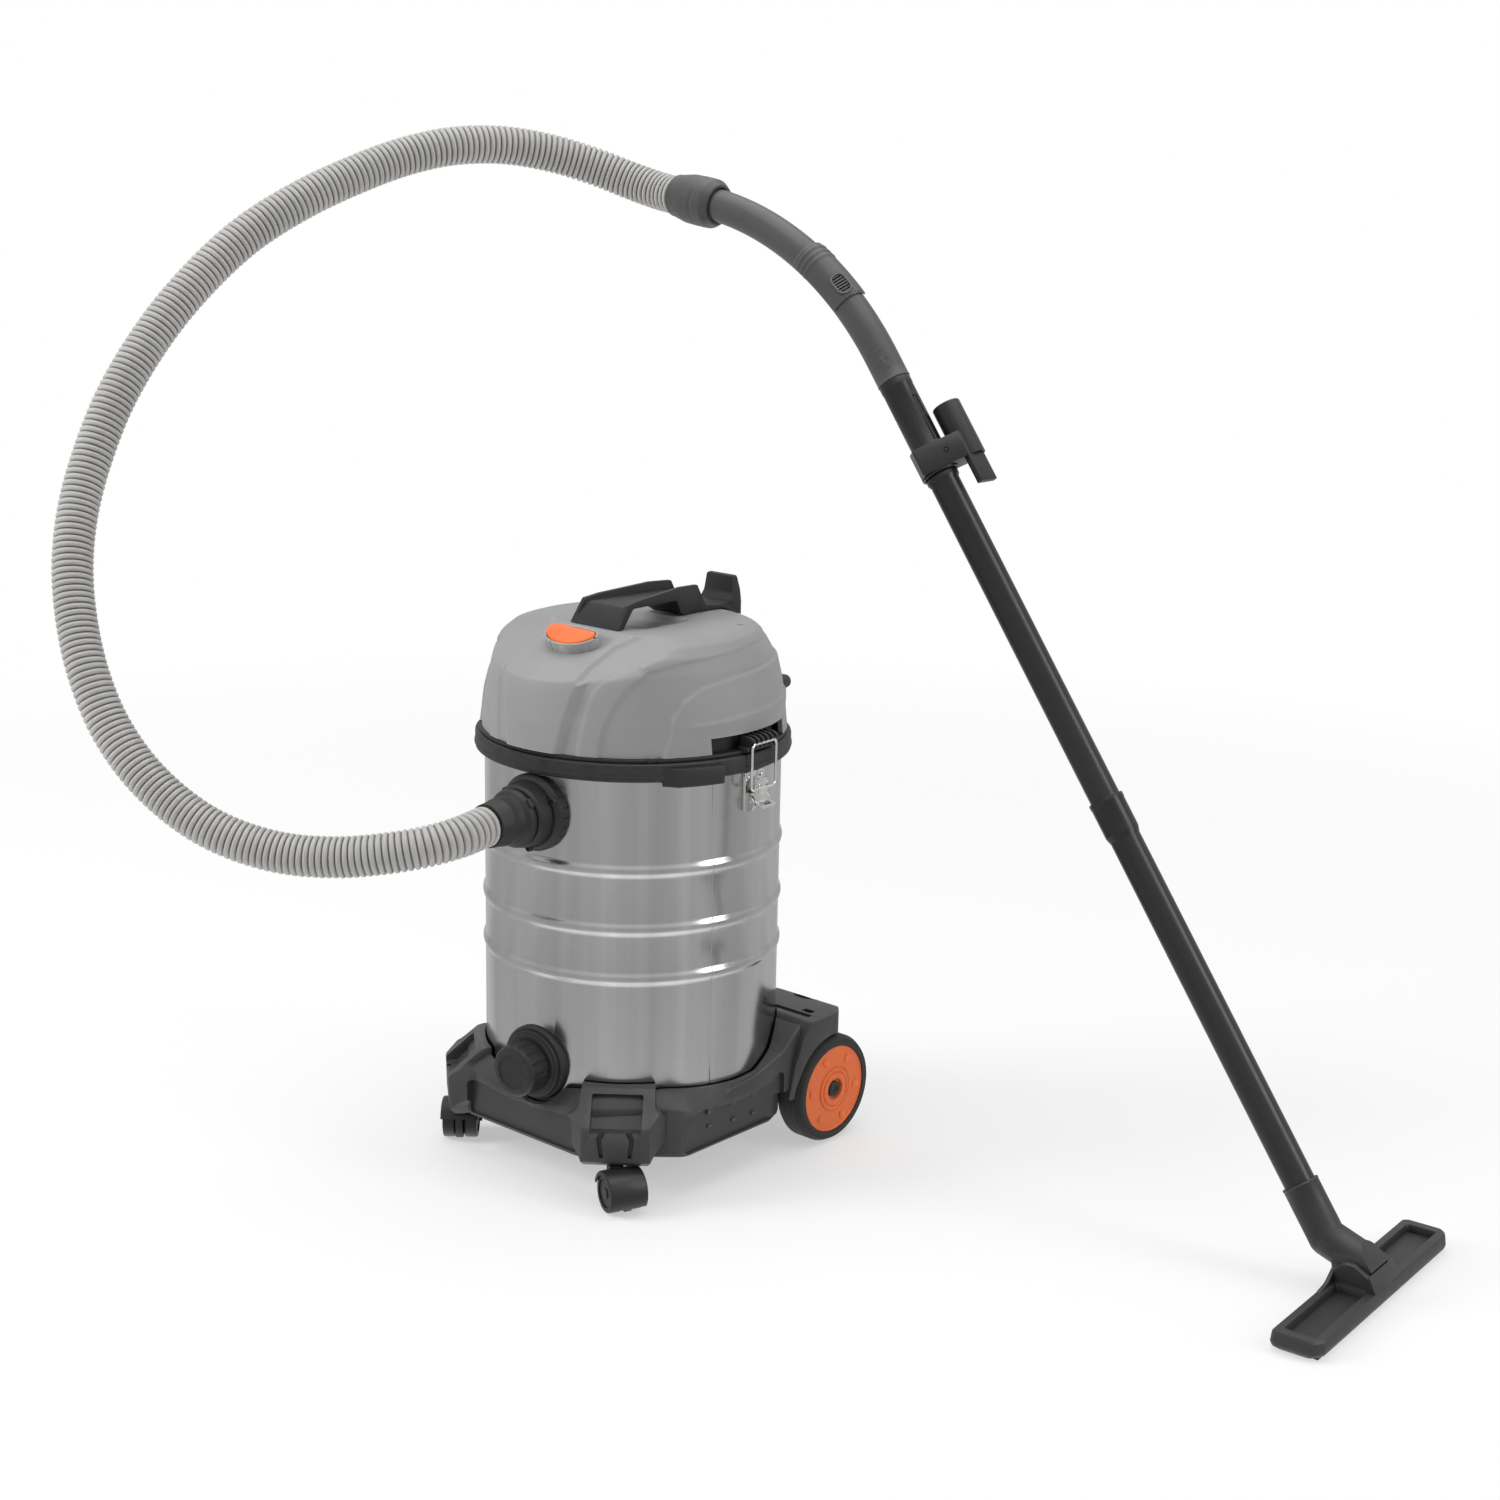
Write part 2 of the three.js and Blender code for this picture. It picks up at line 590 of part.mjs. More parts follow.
// ---------- grip, wand and nozzle, all in one upright plane ----------
const bendCentre = [
  WAND_TOP[0] + GRIP_STRAIGHT * slopeX - GRIP_BEND * Math.cos((90 - WAND_SLOPE) * RAD),
  WAND_TOP[1] + GRIP_STRAIGHT * slopeZ - GRIP_BEND * Math.sin((90 - WAND_SLOPE) * RAD),
];

function onBend(degrees, radius = GRIP_BEND) {
  const angle = degrees * RAD;
  return [bendCentre[0] + radius * Math.cos(angle), WAND_Y,
    bendCentre[1] + radius * Math.sin(angle)];
}

// a point a distance down the wand from the grip
function downWand(distance, out = 0) {
  return [WAND_TOP[0] - slopeX * distance + slopeZ * out, WAND_Y,
    WAND_TOP[1] - slopeZ * distance - slopeX * out];
}

// a geometry made along Z is laid on the wand: its Z then runs up the wand from a distance
function alongWand(geometry, distance) {
  const [x, y, z] = downWand(distance);
  return solid(geometry.rotateY((WAND_SLOPE - 90) * RAD).translate(x, y, z));
}

class BendCurve extends THREE.Curve {
  constructor(from, to) {
    super();
    this.from = from;
    this.to = to;
  }

  getPoint(t, target = new THREE.Vector3()) {
    return target.set(...onBend(this.from + (this.to - this.from) * t));
  }
}

const START = 90 - WAND_SLOPE;
const SLIDER = [46.5, 58];
const SLIDER_TURN = -40;          // degrees round the grip from its outer side towards the front

function gripTube() {
  const arc = pipe(new BendCurve(START - 0.05, GRIP_END), GRIP_R, GRIP_R - 1.6, 8);
  const low = -GRIP_STRAIGHT - 0.2;
  const straight = alongWand(turnedGeometry([[GRIP_R - 1.6, low], [GRIP_R, low], [GRIP_R, 0],
    [GRIP_R - 1.6, 0]], 16), -GRIP_STRAIGHT);
  const [x, y, z] = onBend(50);
  const vent = new THREE.BoxGeometry(40, 10, 16).translate(20, 0, 0).rotateZ(SLIDER_TURN * RAD);
  return cut(join(arc, straight), solid(vent.rotateY(-50 * RAD).translate(x, y, z)));
}

function suctionSlider() {
  const [low, high] = SLIDER;
  const shell = pipe(new BendCurve(low, high), GRIP_R + 3, GRIP_R + GAP, 6);
  const [x, y, z] = onBend((low + high) / 2);
  const under = new THREE.BoxGeometry(60, 80, 140).translate(-26, 0, 0).rotateZ(SLIDER_TURN * RAD);
  return cut(shell, solid(under.rotateY(-((low + high) / 2) * RAD).translate(x, y, z)));
}

function gripCuff() {
  const bore = GRIP_R + 1.2;
  const profile = [[bore, -20], [22, -20], [27, -12], [27, 22], [24, 36], [23, 41.7],
    [17, 41.7], [17, 3], [bore, 3]];
  const [x, y, z] = onBend(GRIP_END);
  return solid(turnedGeometry(profile, 24).rotateY(-GRIP_END * RAD)
    .translate(x, y, z));
}

const SLOT_TURN = -8;             // degrees round the wand from its outer side to its slot

function wandUpper() {
  const top = 28;
  const low = -UPPER_LENGTH - 38;
  const profile = [[WAND_R - 1.5, top], [WAND_R, top], [WAND_R, -TOUCH], [17.3, -TOUCH],
    [17.3, -118], [WAND_R, -121], [WAND_R, low], [WAND_R - 1.5, low]];
  const slot = new THREE.BoxGeometry(4, 7, 88).translate(17.5, 0, -69).rotateZ(SLOT_TURN * RAD);
  return cut(alongWand(turnedGeometry(profile, 20), 0), alongWand(slot, 0));
}

function wandLower() {
  const low = -WAND_LENGTH - 20 + UPPER_LENGTH;
  const profile = [[WAND_R + GAP, 0], [18.2, 0], [18.2, -42], [WAND_R, -46], [WAND_R, low],
    [WAND_R - 1.5, low], [WAND_R - 1.5, -42], [WAND_R + GAP, -42]];
  return alongWand(turnedGeometry(profile, 20), UPPER_LENGTH);
}

const CLIP_AT = 92;

const PEG_AT = [37, -2];

function toolClip() {
  const collar = turned([[17.8, -18], [20.8, -18], [20.8, 16], [17.8, 16]]);
  const body = raised([[-19, -19.5], [38, -19.5], [58, 2], [52, 12], [-5, 12], [-19, 4]], -15, 12);
  const blade = raised([[38, -19.5], [58, 2], [53, 6], [33, -15.5]], -54, 12);
  const peg = bar(15.5, -15, 48).translate(...PEG_AT, 0);
  const whole = cut(join(collar, body, blade, peg), bar(17.8, -30, 30),
    bar(12.5, 0, 60).translate(...PEG_AT, 0));
  return alongWand(geometryOf(whole).rotateZ(45 * RAD), CLIP_AT);
}

// turns a body with the nozzle about the upright line through its pin's middle
function yawed(body) {
  const geometry = geometryOf(body).translate(-PIVOT[0], -WAND_Y, 0);
  return solid(geometry.rotateZ(NOZZLE_YAW * RAD).translate(PIVOT[0], WAND_Y, 0));
}

function nozzleElbow() {
  const bend = downWand(WAND_LENGTH + 52);
  const straight = [-1, 12, 26].map((more) => downWand(WAND_LENGTH + more));
  const line = smooth([...straight, [bend[0] + 2, WAND_Y, bend[2] + 1],
    [PIVOT[0] - 24, WAND_Y, PIVOT[1] + 5], [PIVOT[0] - 4, WAND_Y, PIVOT[1] + 1.3]]);
  const neck = pipe(line, GRIP_R + 0.5, WAND_R + GAP, 5);
  const barrel = cut(barY(18.5, WAND_Y - 20, WAND_Y + 20, ...PIVOT, 24),
    barY(15.5, WAND_Y - 16, WAND_Y + 16, ...PIVOT, 24));
  const mouth = block(PIVOT[0] - 10, PIVOT[0] + 10, WAND_Y - 15, WAND_Y + 15,
    PIVOT[1] - 30, PIVOT[1]);
  const room = barY(15.5, WAND_Y - 16, WAND_Y + 16, ...PIVOT, 24);
  return cut(join(cut(neck, yawed(room)), yawed(barrel)), yawed(mouth),
    yawed(barY(4.5, 0, 400, ...PIVOT, 12)), pipe(line, WAND_R - 0.5, 0, 5, 8));
}

function nozzleHead() {
  const x0 = NOZZLE_X - NOZZLE_WIDTH / 2;
  const x1 = NOZZLE_X + NOZZLE_WIDTH / 2;
  const y0 = WAND_Y - NOZZLE_LENGTH / 2;
  const y1 = WAND_Y + NOZZLE_LENGTH / 2;
  const sole = FLOOR + 1.5;
  const top = FLOOR + 21;
  const plate = raised([[x0 + 4, y0], [x1 - 6, y0], [x1, y0 + 8], [x1, y1 - 8], [x1 - 6, y1],
    [x0 + 4, y1], [x0, y1 - 5], [x0, y0 + 5]], sole, top);
  const cheeks = [WAND_Y - 28.6, WAND_Y + 20.8].map(
    (y) => block(x0, x1 - 8, y, y + 7.8, sole, FLOOR + 46));
  const roof = block(PIVOT[0] + 20.5, x1, WAND_Y - 28.6, WAND_Y + 28.6, sole, FLOOR + 34);
  const well = block(x0 - 5, PIVOT[0] + 20.5, WAND_Y - 20.8, WAND_Y + 20.8, FLOOR - 5, FLOOR + 60);
  const channel = block(x0 + 15, x1 - 15, y0 + 12, y1 - 12, FLOOR, FLOOR + 9);
  const windows = [y0 + 14, WAND_Y + 34].map(
    (y) => block(x0 + 11, x1 - 12, y, y + 111, FLOOR + 12, FLOOR + 40));
  const grooves = [x0 + 5, x1 - 10].map(
    (x) => block(x, x + 5, y0 + 10, y1 - 10, FLOOR - 1, FLOOR + 6));
  return yawed(cut(join(plate, ...cheeks, roof), well, channel, ...windows, ...grooves,
    barY(4.3, WAND_Y - 40, WAND_Y + 40, ...PIVOT, 12)));
}

function nozzleStrip(x) {
  const y0 = WAND_Y - NOZZLE_LENGTH / 2 + 10.4;
  return yawed(block(x + 0.4, x + 4.6, y0, 2 * WAND_Y - y0, FLOOR, FLOOR + 5.6));
}

// ---------- assembly ----------
function addTank() {
  add('tank', tank(), STEEL, turnedGroup);
  add('tank_rim_ring', rimRing(), BLACK, turnedGroup);
  add('inlet_flange', inletFlange(), BLACK, turnedGroup);
  add('inlet_deflector', inletDeflector(), BLACK, turnedGroup);
  add('hose_cuff', hoseCuff(), BLACK, turnedGroup);
  add('drain_collar', drainCollar(), BLACK, turnedGroup);
  add('drain_cap', drainCap(), BLACK, turnedGroup);
  add('drain_seal', drainSeal(), RUBBER, turnedGroup);
  for (const [side, tag] of [[-1, 'left'], [1, 'right']]) {
    const latch = latchPieces(side);
    add(`latch_bracket_${tag}`, latch.bracket, CHROME, turnedGroup);
    add(`latch_lever_${tag}`, latch.lever, CHROME, turnedGroup);
    add(`latch_bail_${tag}`, latch.bail, CHROME, turnedGroup);
  }
}

function addHead() {
  add('head_chassis', headChassis(), BLACK, turnedGroup);
  add('head_gasket', headGasket(), RUBBER, turnedGroup);
  add('head_cover', headCover(), GREY);
  add('switch_bezel', switchBezel(), GREY);
  add('switch_rocker', switchRocker(), ORANGE);
  add('carry_handle', carryHandle(), BLACK);
  add('cable_gland', cableGland(), RUBBER);
  add('exhaust_grille', exhaustGrille(), BLACK);
  add('fan_shroud', fanShroud(), BLACK);
  add('motor_housing', motorHousing(), STEEL);
  add('fan_rotor', fanRotor(), COPPER);
  add('sound_foam', soundFoam(), RUBBER);
  add('filter_cage', filterCage(), BLACK);
  add('float_valve', floatValve(), ORANGE);
  add('cartridge_filter', cartridgeFilter(), PAPER);
  add('filter_retainer', filterRetainer(), BLACK);
}

function addBase() {
  add('base_frame', baseFrame(), BLACK);
  add('rear_axle', rearAxle(), STEEL);
  for (const [side, tag] of [[-1, 'left'], [1, 'right']]) {
    const wheel = rearWheel(side);
    add(`rear_tyre_${tag}`, wheel.tyre, RUBBER);
    add(`wheel_disc_${tag}`, wheel.disc, ORANGE);
    add(`hub_cap_${tag}`, wheel.cap, BLACK);
    const caster = new THREE.Group();
    caster.position.set(side * CASTER_AT[0], CASTER_AT[1], 0);
    caster.rotation.z = CASTER_SWIVEL[tag] * RAD;
    vacuum.add(caster);
    add(`caster_fork_${tag}`, casterFork(), BLACK, caster);
    add(`caster_wheels_${tag}`, casterWheels(), BLACK, caster);
  }
}

function addWand() {
  add('hose', pipe(smooth(HOSE_ROUTE), HOSE_R, 0, 40, 10), HOSE_GREY);
  add('grip_cuff', gripCuff(), DARK_GREY);
  add('grip_tube', gripTube(), DARK_GREY);
  add('suction_slider', suctionSlider(), DARK_GREY);
  add('wand_upper', wandUpper(), WAND_BLACK);
  add('tool_clip', toolClip(), WAND_BLACK);
  add('wand_lower', wandLower(), WAND_BLACK);
  add('nozzle_elbow', nozzleElbow(), BLACK);
  add('nozzle_head', nozzleHead(), BLACK);
  add('nozzle_strip_rear', nozzleStrip(NOZZLE_X - NOZZLE_WIDTH / 2 + 5), RUBBER);
  add('nozzle_strip_front', nozzleStrip(NOZZLE_X + NOZZLE_WIDTH / 2 - 10), RUBBER);
  add('nozzle_pin', yawed(barY(3.9, WAND_Y - 28, WAND_Y + 28, ...PIVOT, 12)), STEEL);
}

addTank();
addHead();
addBase();
addWand();

export default vacuum;
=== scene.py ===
"""Looks for a wet and dry shop vacuum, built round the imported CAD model.

Lengths are millimetres in the CAD frame until a mesh is made: +Z up, the front faces -Y,
and z = 0 is the underside of the base tray.
"""
import math

import bmesh
import bpy
import numpy as np
from mathutils import Matrix, Vector


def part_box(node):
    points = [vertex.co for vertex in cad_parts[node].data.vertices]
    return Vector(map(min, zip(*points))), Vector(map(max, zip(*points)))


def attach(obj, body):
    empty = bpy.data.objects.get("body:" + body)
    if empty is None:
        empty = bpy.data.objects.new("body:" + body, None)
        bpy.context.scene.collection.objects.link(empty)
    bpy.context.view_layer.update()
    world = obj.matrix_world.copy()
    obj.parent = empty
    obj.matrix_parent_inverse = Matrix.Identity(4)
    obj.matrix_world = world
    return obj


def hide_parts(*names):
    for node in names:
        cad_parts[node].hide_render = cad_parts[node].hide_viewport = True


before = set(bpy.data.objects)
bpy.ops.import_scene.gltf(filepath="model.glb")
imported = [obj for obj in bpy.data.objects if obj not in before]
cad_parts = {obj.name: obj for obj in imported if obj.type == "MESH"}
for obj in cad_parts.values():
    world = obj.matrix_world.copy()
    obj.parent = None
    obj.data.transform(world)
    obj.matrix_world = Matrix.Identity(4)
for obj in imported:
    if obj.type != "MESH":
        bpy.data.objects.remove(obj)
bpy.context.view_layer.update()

MM = 0.001
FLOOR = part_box("caster_wheels_left")[0].z / MM


# ---------- measures taken from the frame ----------
def low(node):
    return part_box(node)[0] / MM


def high(node):
    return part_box(node)[1] / MM


TANK_TURN = 5.0                                   # degrees that the tank sits turned in the base
TANK_R = 160.0
TANK_FOOT = low("tank").z
TANK_TOP = high("tank").z
RING_R = 170.0
RING_TOP = 425.0
COVER_LOW = low("head_cover").z
INLET_Z = (low("inlet_flange").z + high("inlet_flange").z) / 2
DRAIN_Z = (low("drain_collar").z + high("drain_collar").z) / 2
AXLE_Y = (low("rear_axle").y + high("rear_axle").y) / 2
AXLE_Z = (low("rear_axle").z + high("rear_axle").z) / 2
WHEEL_R = (high("rear_tyre_left").z - low("rear_tyre_left").z) / 2
CASTER_X = 121.0
CASTER_Y = -147.0
CASTER_R = 21.0
CASTER_TRAIL = 14.0
CASTER_SWIVEL = {"left": 131.0, "right": -22.0}   # degrees from +X that each caster trails

WAND_Y = (low("wand_upper").y + high("wand_upper").y) / 2
WAND_SLOPE = math.radians(54)
WAND_TOP = Vector((180, WAND_Y, 795))
WAND_R = 16.0
UPPER_LENGTH = 494.0
WAND_LENGTH = 921.0
GRIP_R = 18.0
GRIP_BEND = 381.0
GRIP_STRAIGHT = 29.6
GRIP_END = 82.0
PIVOT = Vector((792, WAND_Y, -11))
NOZZLE_X = 797.0
NOZZLE_YAW = 4.2                                  # degrees that the nozzle stands turned
NOZZLE_LENGTH = 318.0
NOZZLE_WIDTH = 52.0

# the hose's route from the inlet cuff to the grip's cuff, in metres
HOSE_ROUTE = [
    (0.0205, -0.2347, 0.363), (0.0214, -0.2447, 0.3626), (0.020, -0.268, 0.359),
    (0.007, -0.298, 0.353), (-0.020, -0.328, 0.346), (-0.062, -0.362, 0.340),
    (-0.114, -0.398, 0.343), (-0.172, -0.434, 0.364), (-0.230, -0.459, 0.404),
    (-0.276, -0.470, 0.451), (-0.311, -0.471, 0.503), (-0.342, -0.462, 0.556),
    (-0.364, -0.449, 0.605), (-0.381, -0.429, 0.655), (-0.393, -0.401, 0.708),
    (-0.400, -0.363, 0.769), (-0.401, -0.309, 0.835), (-0.395, -0.258, 0.886),
    (-0.384, -0.203, 0.931), (-0.368, -0.142, 0.967), (-0.351, -0.082, 0.994),
    (-0.334, -0.023, 1.015), (-0.314, 0.030, 1.027), (-0.290, 0.084, 1.029),
    (-0.262, 0.132, 1.021), (-0.230, 0.170, 1.007), (-0.195, 0.194, 0.992),
    (-0.164, 0.2034, 0.9828), (-0.1457, 0.205, 0.9793), (-0.1352, 0.205, 0.9779),
]


# ---------- camera, floor and light ----------
CAMERA_AT = (1.7673, -1.8377, 1.0382)
CAMERA_AZIMUTH = 41.05
CAMERA_PITCH = 14.06
CAMERA_ROLL = 1.17
CAMERA_LENS = 58.28


def make_camera():
    azimuth, pitch, roll = (math.radians(d) for d in (CAMERA_AZIMUTH, CAMERA_PITCH, CAMERA_ROLL))
    level = Vector((math.cos(azimuth), math.sin(azimuth), 0))
    away = Vector((-math.sin(azimuth), math.cos(azimuth), 0))
    forward = math.cos(pitch) * away - math.sin(pitch) * Vector((0, 0, 1))
    raised_up = level.cross(forward)
    right = math.cos(roll) * level + math.sin(roll) * raised_up
    up = math.cos(roll) * raised_up - math.sin(roll) * level
    data = bpy.data.cameras.new("camera")
    data.lens = CAMERA_LENS
    data.sensor_width = 36
    camera = bpy.data.objects.new("camera", data)
    bpy.context.scene.collection.objects.link(camera)
    turn = Matrix((right, up, -forward)).transposed().to_4x4()
    camera.matrix_world = Matrix.Translation(CAMERA_AT) @ turn
    bpy.context.scene.camera = camera


def area_light(name, spot, aim, size, power):
    data = bpy.data.lights.new(name, "AREA")
    data.shape = "RECTANGLE"
    data.size, data.size_y = size
    data.energy = power
    light = bpy.data.objects.new(name, data)
    bpy.context.scene.collection.objects.link(light)
    light.location = spot
    light.rotation_mode = "QUATERNION"
    light.rotation_quaternion = (Vector(aim) - Vector(spot)).to_track_quat("-Z", "Y")
    return light


def make_stage():
    mesh = bpy.data.meshes.new("floor")
    reach = 14
    z = FLOOR * MM - 0.0004
    corners = [(-reach, -reach, z), (reach, -reach, z), (reach, reach, z), (-reach, reach, z)]
    mesh.from_pydata(corners, [], [(0, 1, 2, 3)])
    floor = bpy.data.objects.new("floor", mesh)
    bpy.context.scene.collection.objects.link(floor)
    floor.visible_glossy = False
    material = bpy.data.materials.new("floor_paint")
    material.use_nodes = True
    shader = material.node_tree.nodes["Principled BSDF"]
    shader.inputs["Base Color"].default_value = (0.9, 0.9, 0.9, 1)
    shader.inputs["Roughness"].default_value = 0.9
    tree = material.node_tree
    glow = tree.nodes.new("ShaderNodeEmission")
    glow.inputs["Color"].default_value = (1.0, 1.0, 1.0, 1)
    seen = tree.nodes.new("ShaderNodeLightPath")
    place = tree.nodes.new("ShaderNodeTexCoord")
    far = tree.nodes.new("ShaderNodeVectorMath")
    far.operation = "LENGTH"
    tree.links.new(place.outputs["Object"], far.inputs[0])
    spread = math_node(tree, "MULTIPLY_ADD", far.outputs["Value"], 0.22, 0.42)
    spread = math_node(tree, "MINIMUM", spread, 1.0)
    share = math_node(tree, "MULTIPLY", seen.outputs["Is Camera Ray"], spread)
    mix = tree.nodes.new("ShaderNodeMixShader")
    tree.links.new(share, mix.inputs[0])
    tree.links.new(shader.outputs[0], mix.inputs[1])
    tree.links.new(glow.outputs[0], mix.inputs[2])
    tree.links.new(mix.outputs[0], tree.nodes["Material Output"].inputs["Surface"])
    mesh.materials.append(material)
    area_light("overhead", (0.2, 0.3, 3.2), (0.2, 0, 0.3), (3.2, 3.2), 56)
    left = area_light("left", (-2.2, -2.6, 2.2), (0, 0, 0.35), (1.5, 2.0), 108)
    left.visible_glossy = False
    area_light("right", (3.1, 1.0, 1.7), (0, 0, 0.35), (1.0, 2.4), 34)


def make_world():
    """Plain studio: white to the camera; what shines sees pale walls with darker gaps."""
    world = bpy.data.worlds.new("studio")
    bpy.context.scene.world = world
    world.use_nodes = True
    tree = world.node_tree
    tree.nodes.clear()
    place = tree.nodes.new("ShaderNodeTexCoord")
    split = tree.nodes.new("ShaderNodeSeparateXYZ")
    tree.links.new(place.outputs["Generated"], split.inputs[0])
    height = tree.nodes.new("ShaderNodeValToRGB")
    ramp = height.color_ramp
    ramp.interpolation = "EASE"
    levels = [(0.0, 1.5), (0.08, 1.3), (0.20, 0.62), (0.50, 0.56), (0.66, 0.66), (1.0, 1.3)]
    ramp.elements[0].position, ramp.elements[1].position = levels[0][0], levels[-1][0]
    for position, _ in levels[1:-1]:
        ramp.elements.new(position)
    for element, (_, value) in zip(ramp.elements, levels):
        element.color = (value, value, value, 1)
    half = math_node(tree, "MULTIPLY_ADD", split.outputs["Z"], 0.5, 0.5)
    tree.links.new(half, height.inputs[0])
    around = math_node(tree, "ARCTAN2", split.outputs["X"], split.outputs["Y"])
    bands = None
    for count, phase, share in ((5, 0.4, 0.07), (11, 2.1, 0.06), (23, 0.9, 0.05)):
        wave = math_node(tree, "SINE", math_node(tree, "MULTIPLY_ADD", around, count, phase))
        part = math_node(tree, "MULTIPLY_ADD", wave, share, 1.0)
        bands = part if bands is None else math_node(tree, "MULTIPLY", bands, part)
    mixed = math_node(tree, "MULTIPLY", height.outputs[0], bands)
    seen = tree.nodes.new("ShaderNodeLightPath")
    studio = tree.nodes.new("ShaderNodeBackground")
    tree.links.new(mixed, studio.inputs["Color"])
    plain = tree.nodes.new("ShaderNodeBackground")
    plain.inputs["Color"].default_value = (1, 1, 1, 1)
    soft = tree.nodes.new("ShaderNodeBackground")
    soft.inputs["Color"].default_value = (0.32, 0.32, 0.32, 1)
    glossy = tree.nodes.new("ShaderNodeMixShader")
    tree.links.new(seen.outputs["Is Glossy Ray"], glossy.inputs[0])
    tree.links.new(soft.outputs[0], glossy.inputs[1])
    tree.links.new(studio.outputs[0], glossy.inputs[2])
    final = tree.nodes.new("ShaderNodeMixShader")
    tree.links.new(seen.outputs["Is Camera Ray"], final.inputs[0])
    tree.links.new(glossy.outputs[0], final.inputs[1])
    tree.links.new(plain.outputs[0], final.inputs[2])
    output = tree.nodes.new("ShaderNodeOutputWorld")
    tree.links.new(final.outputs[0], output.inputs["Surface"])


def math_node(tree, operation, *inputs):
    node = tree.nodes.new("ShaderNodeMath")
    node.operation = operation
    for socket, value in zip(node.inputs, inputs):
        if isinstance(value, (int, float)):
            socket.default_value = value
        else:
            tree.links.new(value, socket)
    return node.outputs[0]


# ---------- materials ----------
def new_material(name, roughness, metallic=0.0):
    material = bpy.data.materials.new(name)
    material.use_nodes = True
    tree = material.node_tree
    shader = tree.nodes["Principled BSDF"]
    shader.inputs["Roughness"].default_value = roughness
    shader.inputs["Metallic"].default_value = metallic
    place = tree.nodes.new("ShaderNodeTexCoord")
    return material, tree, shader, place.outputs["Object"]


def noise(tree, place, scale, detail=3.0, roughness=0.5):
    node = tree.nodes.new("ShaderNodeTexNoise")
    node.inputs["Scale"].default_value = scale
    node.inputs["Detail"].default_value = detail
    node.inputs["Roughness"].default_value = roughness
    tree.links.new(place, node.inputs["Vector"])
    return node.outputs["Fac"]


def between(tree, factor, first, second):
    """A colour that goes from first to second as factor goes from 0.3 to 0.7."""
    node = tree.nodes.new("ShaderNodeValToRGB")
    node.color_ramp.elements[0].position = 0.3
    node.color_ramp.elements[1].position = 0.7
    node.color_ramp.elements[0].color = (*first, 1)
    node.color_ramp.elements[1].color = (*second, 1)
    tree.links.new(factor, node.inputs[0])
    return node.outputs[0]


def blended(tree, factor, first, second):
    node = tree.nodes.new("ShaderNodeMix")
    node.data_type = "RGBA"
    tree.links.new(factor, node.inputs["Factor"])
    for socket, value in ((node.inputs["A"], first), (node.inputs["B"], second)):
        if isinstance(value, tuple):
            socket.default_value = (*value, 1)
        else:
            tree.links.new(value, socket)
    return node.outputs["Result"]


def edge_share(tree, start=0.515, end=0.60):
    """0 on flat faces and up to 1 on convex edges, where plastic is rubbed and where a painted
    highlight is laid on.
    """
    shape = tree.nodes.new("ShaderNodeNewGeometry")
    node = tree.nodes.new("ShaderNodeMapRange")
    node.inputs["From Min"].default_value = start
    node.inputs["From Max"].default_value = end
    tree.links.new(shape.outputs["Pointiness"], node.inputs["Value"])
    return node.outputs[0]


def bump(tree, shader, height, strength, distance):
    node = tree.nodes.new("ShaderNodeBump")
    node.inputs["Strength"].default_value = strength
    node.inputs["Distance"].default_value = distance
    tree.links.new(height, node.inputs["Height"])
    tree.links.new(node.outputs[0], shader.inputs["Normal"])


def scaled(color, share):
    return tuple(min(1.0, c * share) for c in color)


def plastic(name, color, roughness, grain=1400, depth=0.25, spread=0.08, edge=1.5):
    """Moulded plastic: fine spark-eroded grain, faint flow marks and lighter edges, partly rubbed
    wear and partly painted highlight.
    """
    material, tree, shader, place = new_material(name, roughness)
    flow = noise(tree, place, 14, 4)
    body = between(tree, flow, scaled(color, 1 - spread), scaled(color, 1 + spread))
    # convex edges made lighter: partly rubbing wear, partly a painted highlight
    rubbed_and_highlit = blended(tree, edge_share(tree), body, scaled(color, edge))
    tree.links.new(rubbed_and_highlit, shader.inputs["Base Color"])
    cloud = noise(tree, place, 60, 3)
    tree.links.new(math_node(tree, "MULTIPLY_ADD", cloud, 0.18, roughness - 0.09),
                   shader.inputs["Roughness"])
    shader.inputs["Specular IOR Level"].default_value = 0.38
    bump(tree, shader, noise(tree, place, grain, 2), depth, 0.00012)
    return material


def round_the_tank(tree, place, around, along):
    """Coordinates stretched round the tank's axis, so that noise runs round it like brushing."""
    split = tree.nodes.new("ShaderNodeSeparateXYZ")
    tree.links.new(place, split.inputs[0])
    angle = math_node(tree, "ARCTAN2", split.outputs["Y"], split.outputs["X"])
    join = tree.nodes.new("ShaderNodeCombineXYZ")
    tree.links.new(math_node(tree, "MULTIPLY", angle, around), join.inputs["X"])
    tree.links.new(math_node(tree, "MULTIPLY", split.outputs["Z"], along), join.inputs["Z"])
    return join.outputs[0]


def steel(name, color, roughness):
    """Rolled stainless sheet: fine lines round the tank, and faint upright bands in the colour that
    are painted reflection streaks.
    """
    material, tree, shader, place = new_material(name, roughness, 1.0)
    lines = noise(tree, round_the_tank(tree, place, 3.0, 900.0), 1.0, 4, 0.6)
    # upright bands of lighter and darker colour: painted reflection streaks
    bands = noise(tree, round_the_tank(tree, place, 5.0, 0.8), 1.6, 3, 0.6)
    body = between(tree, bands, scaled(color, 0.94), scaled(color, 1.05))
    fine = between(tree, lines, (0.96, 0.96, 0.96), (1.0, 1.0, 1.0))
    mix = tree.nodes.new("ShaderNodeMix")
    mix.data_type = "RGBA"
    mix.blend_type = "MULTIPLY"
    mix.inputs["Factor"].default_value = 1.0
    tree.links.new(body, mix.inputs["A"])
    tree.links.new(fine, mix.inputs["B"])
    tree.links.new(mix.outputs["Result"], shader.inputs["Base Color"])
    tree.links.new(math_node(tree, "MULTIPLY_ADD", lines, 0.12, roughness - 0.06),
                   shader.inputs["Roughness"])
    bump(tree, shader, lines, 0.06, 0.0001)
    return material


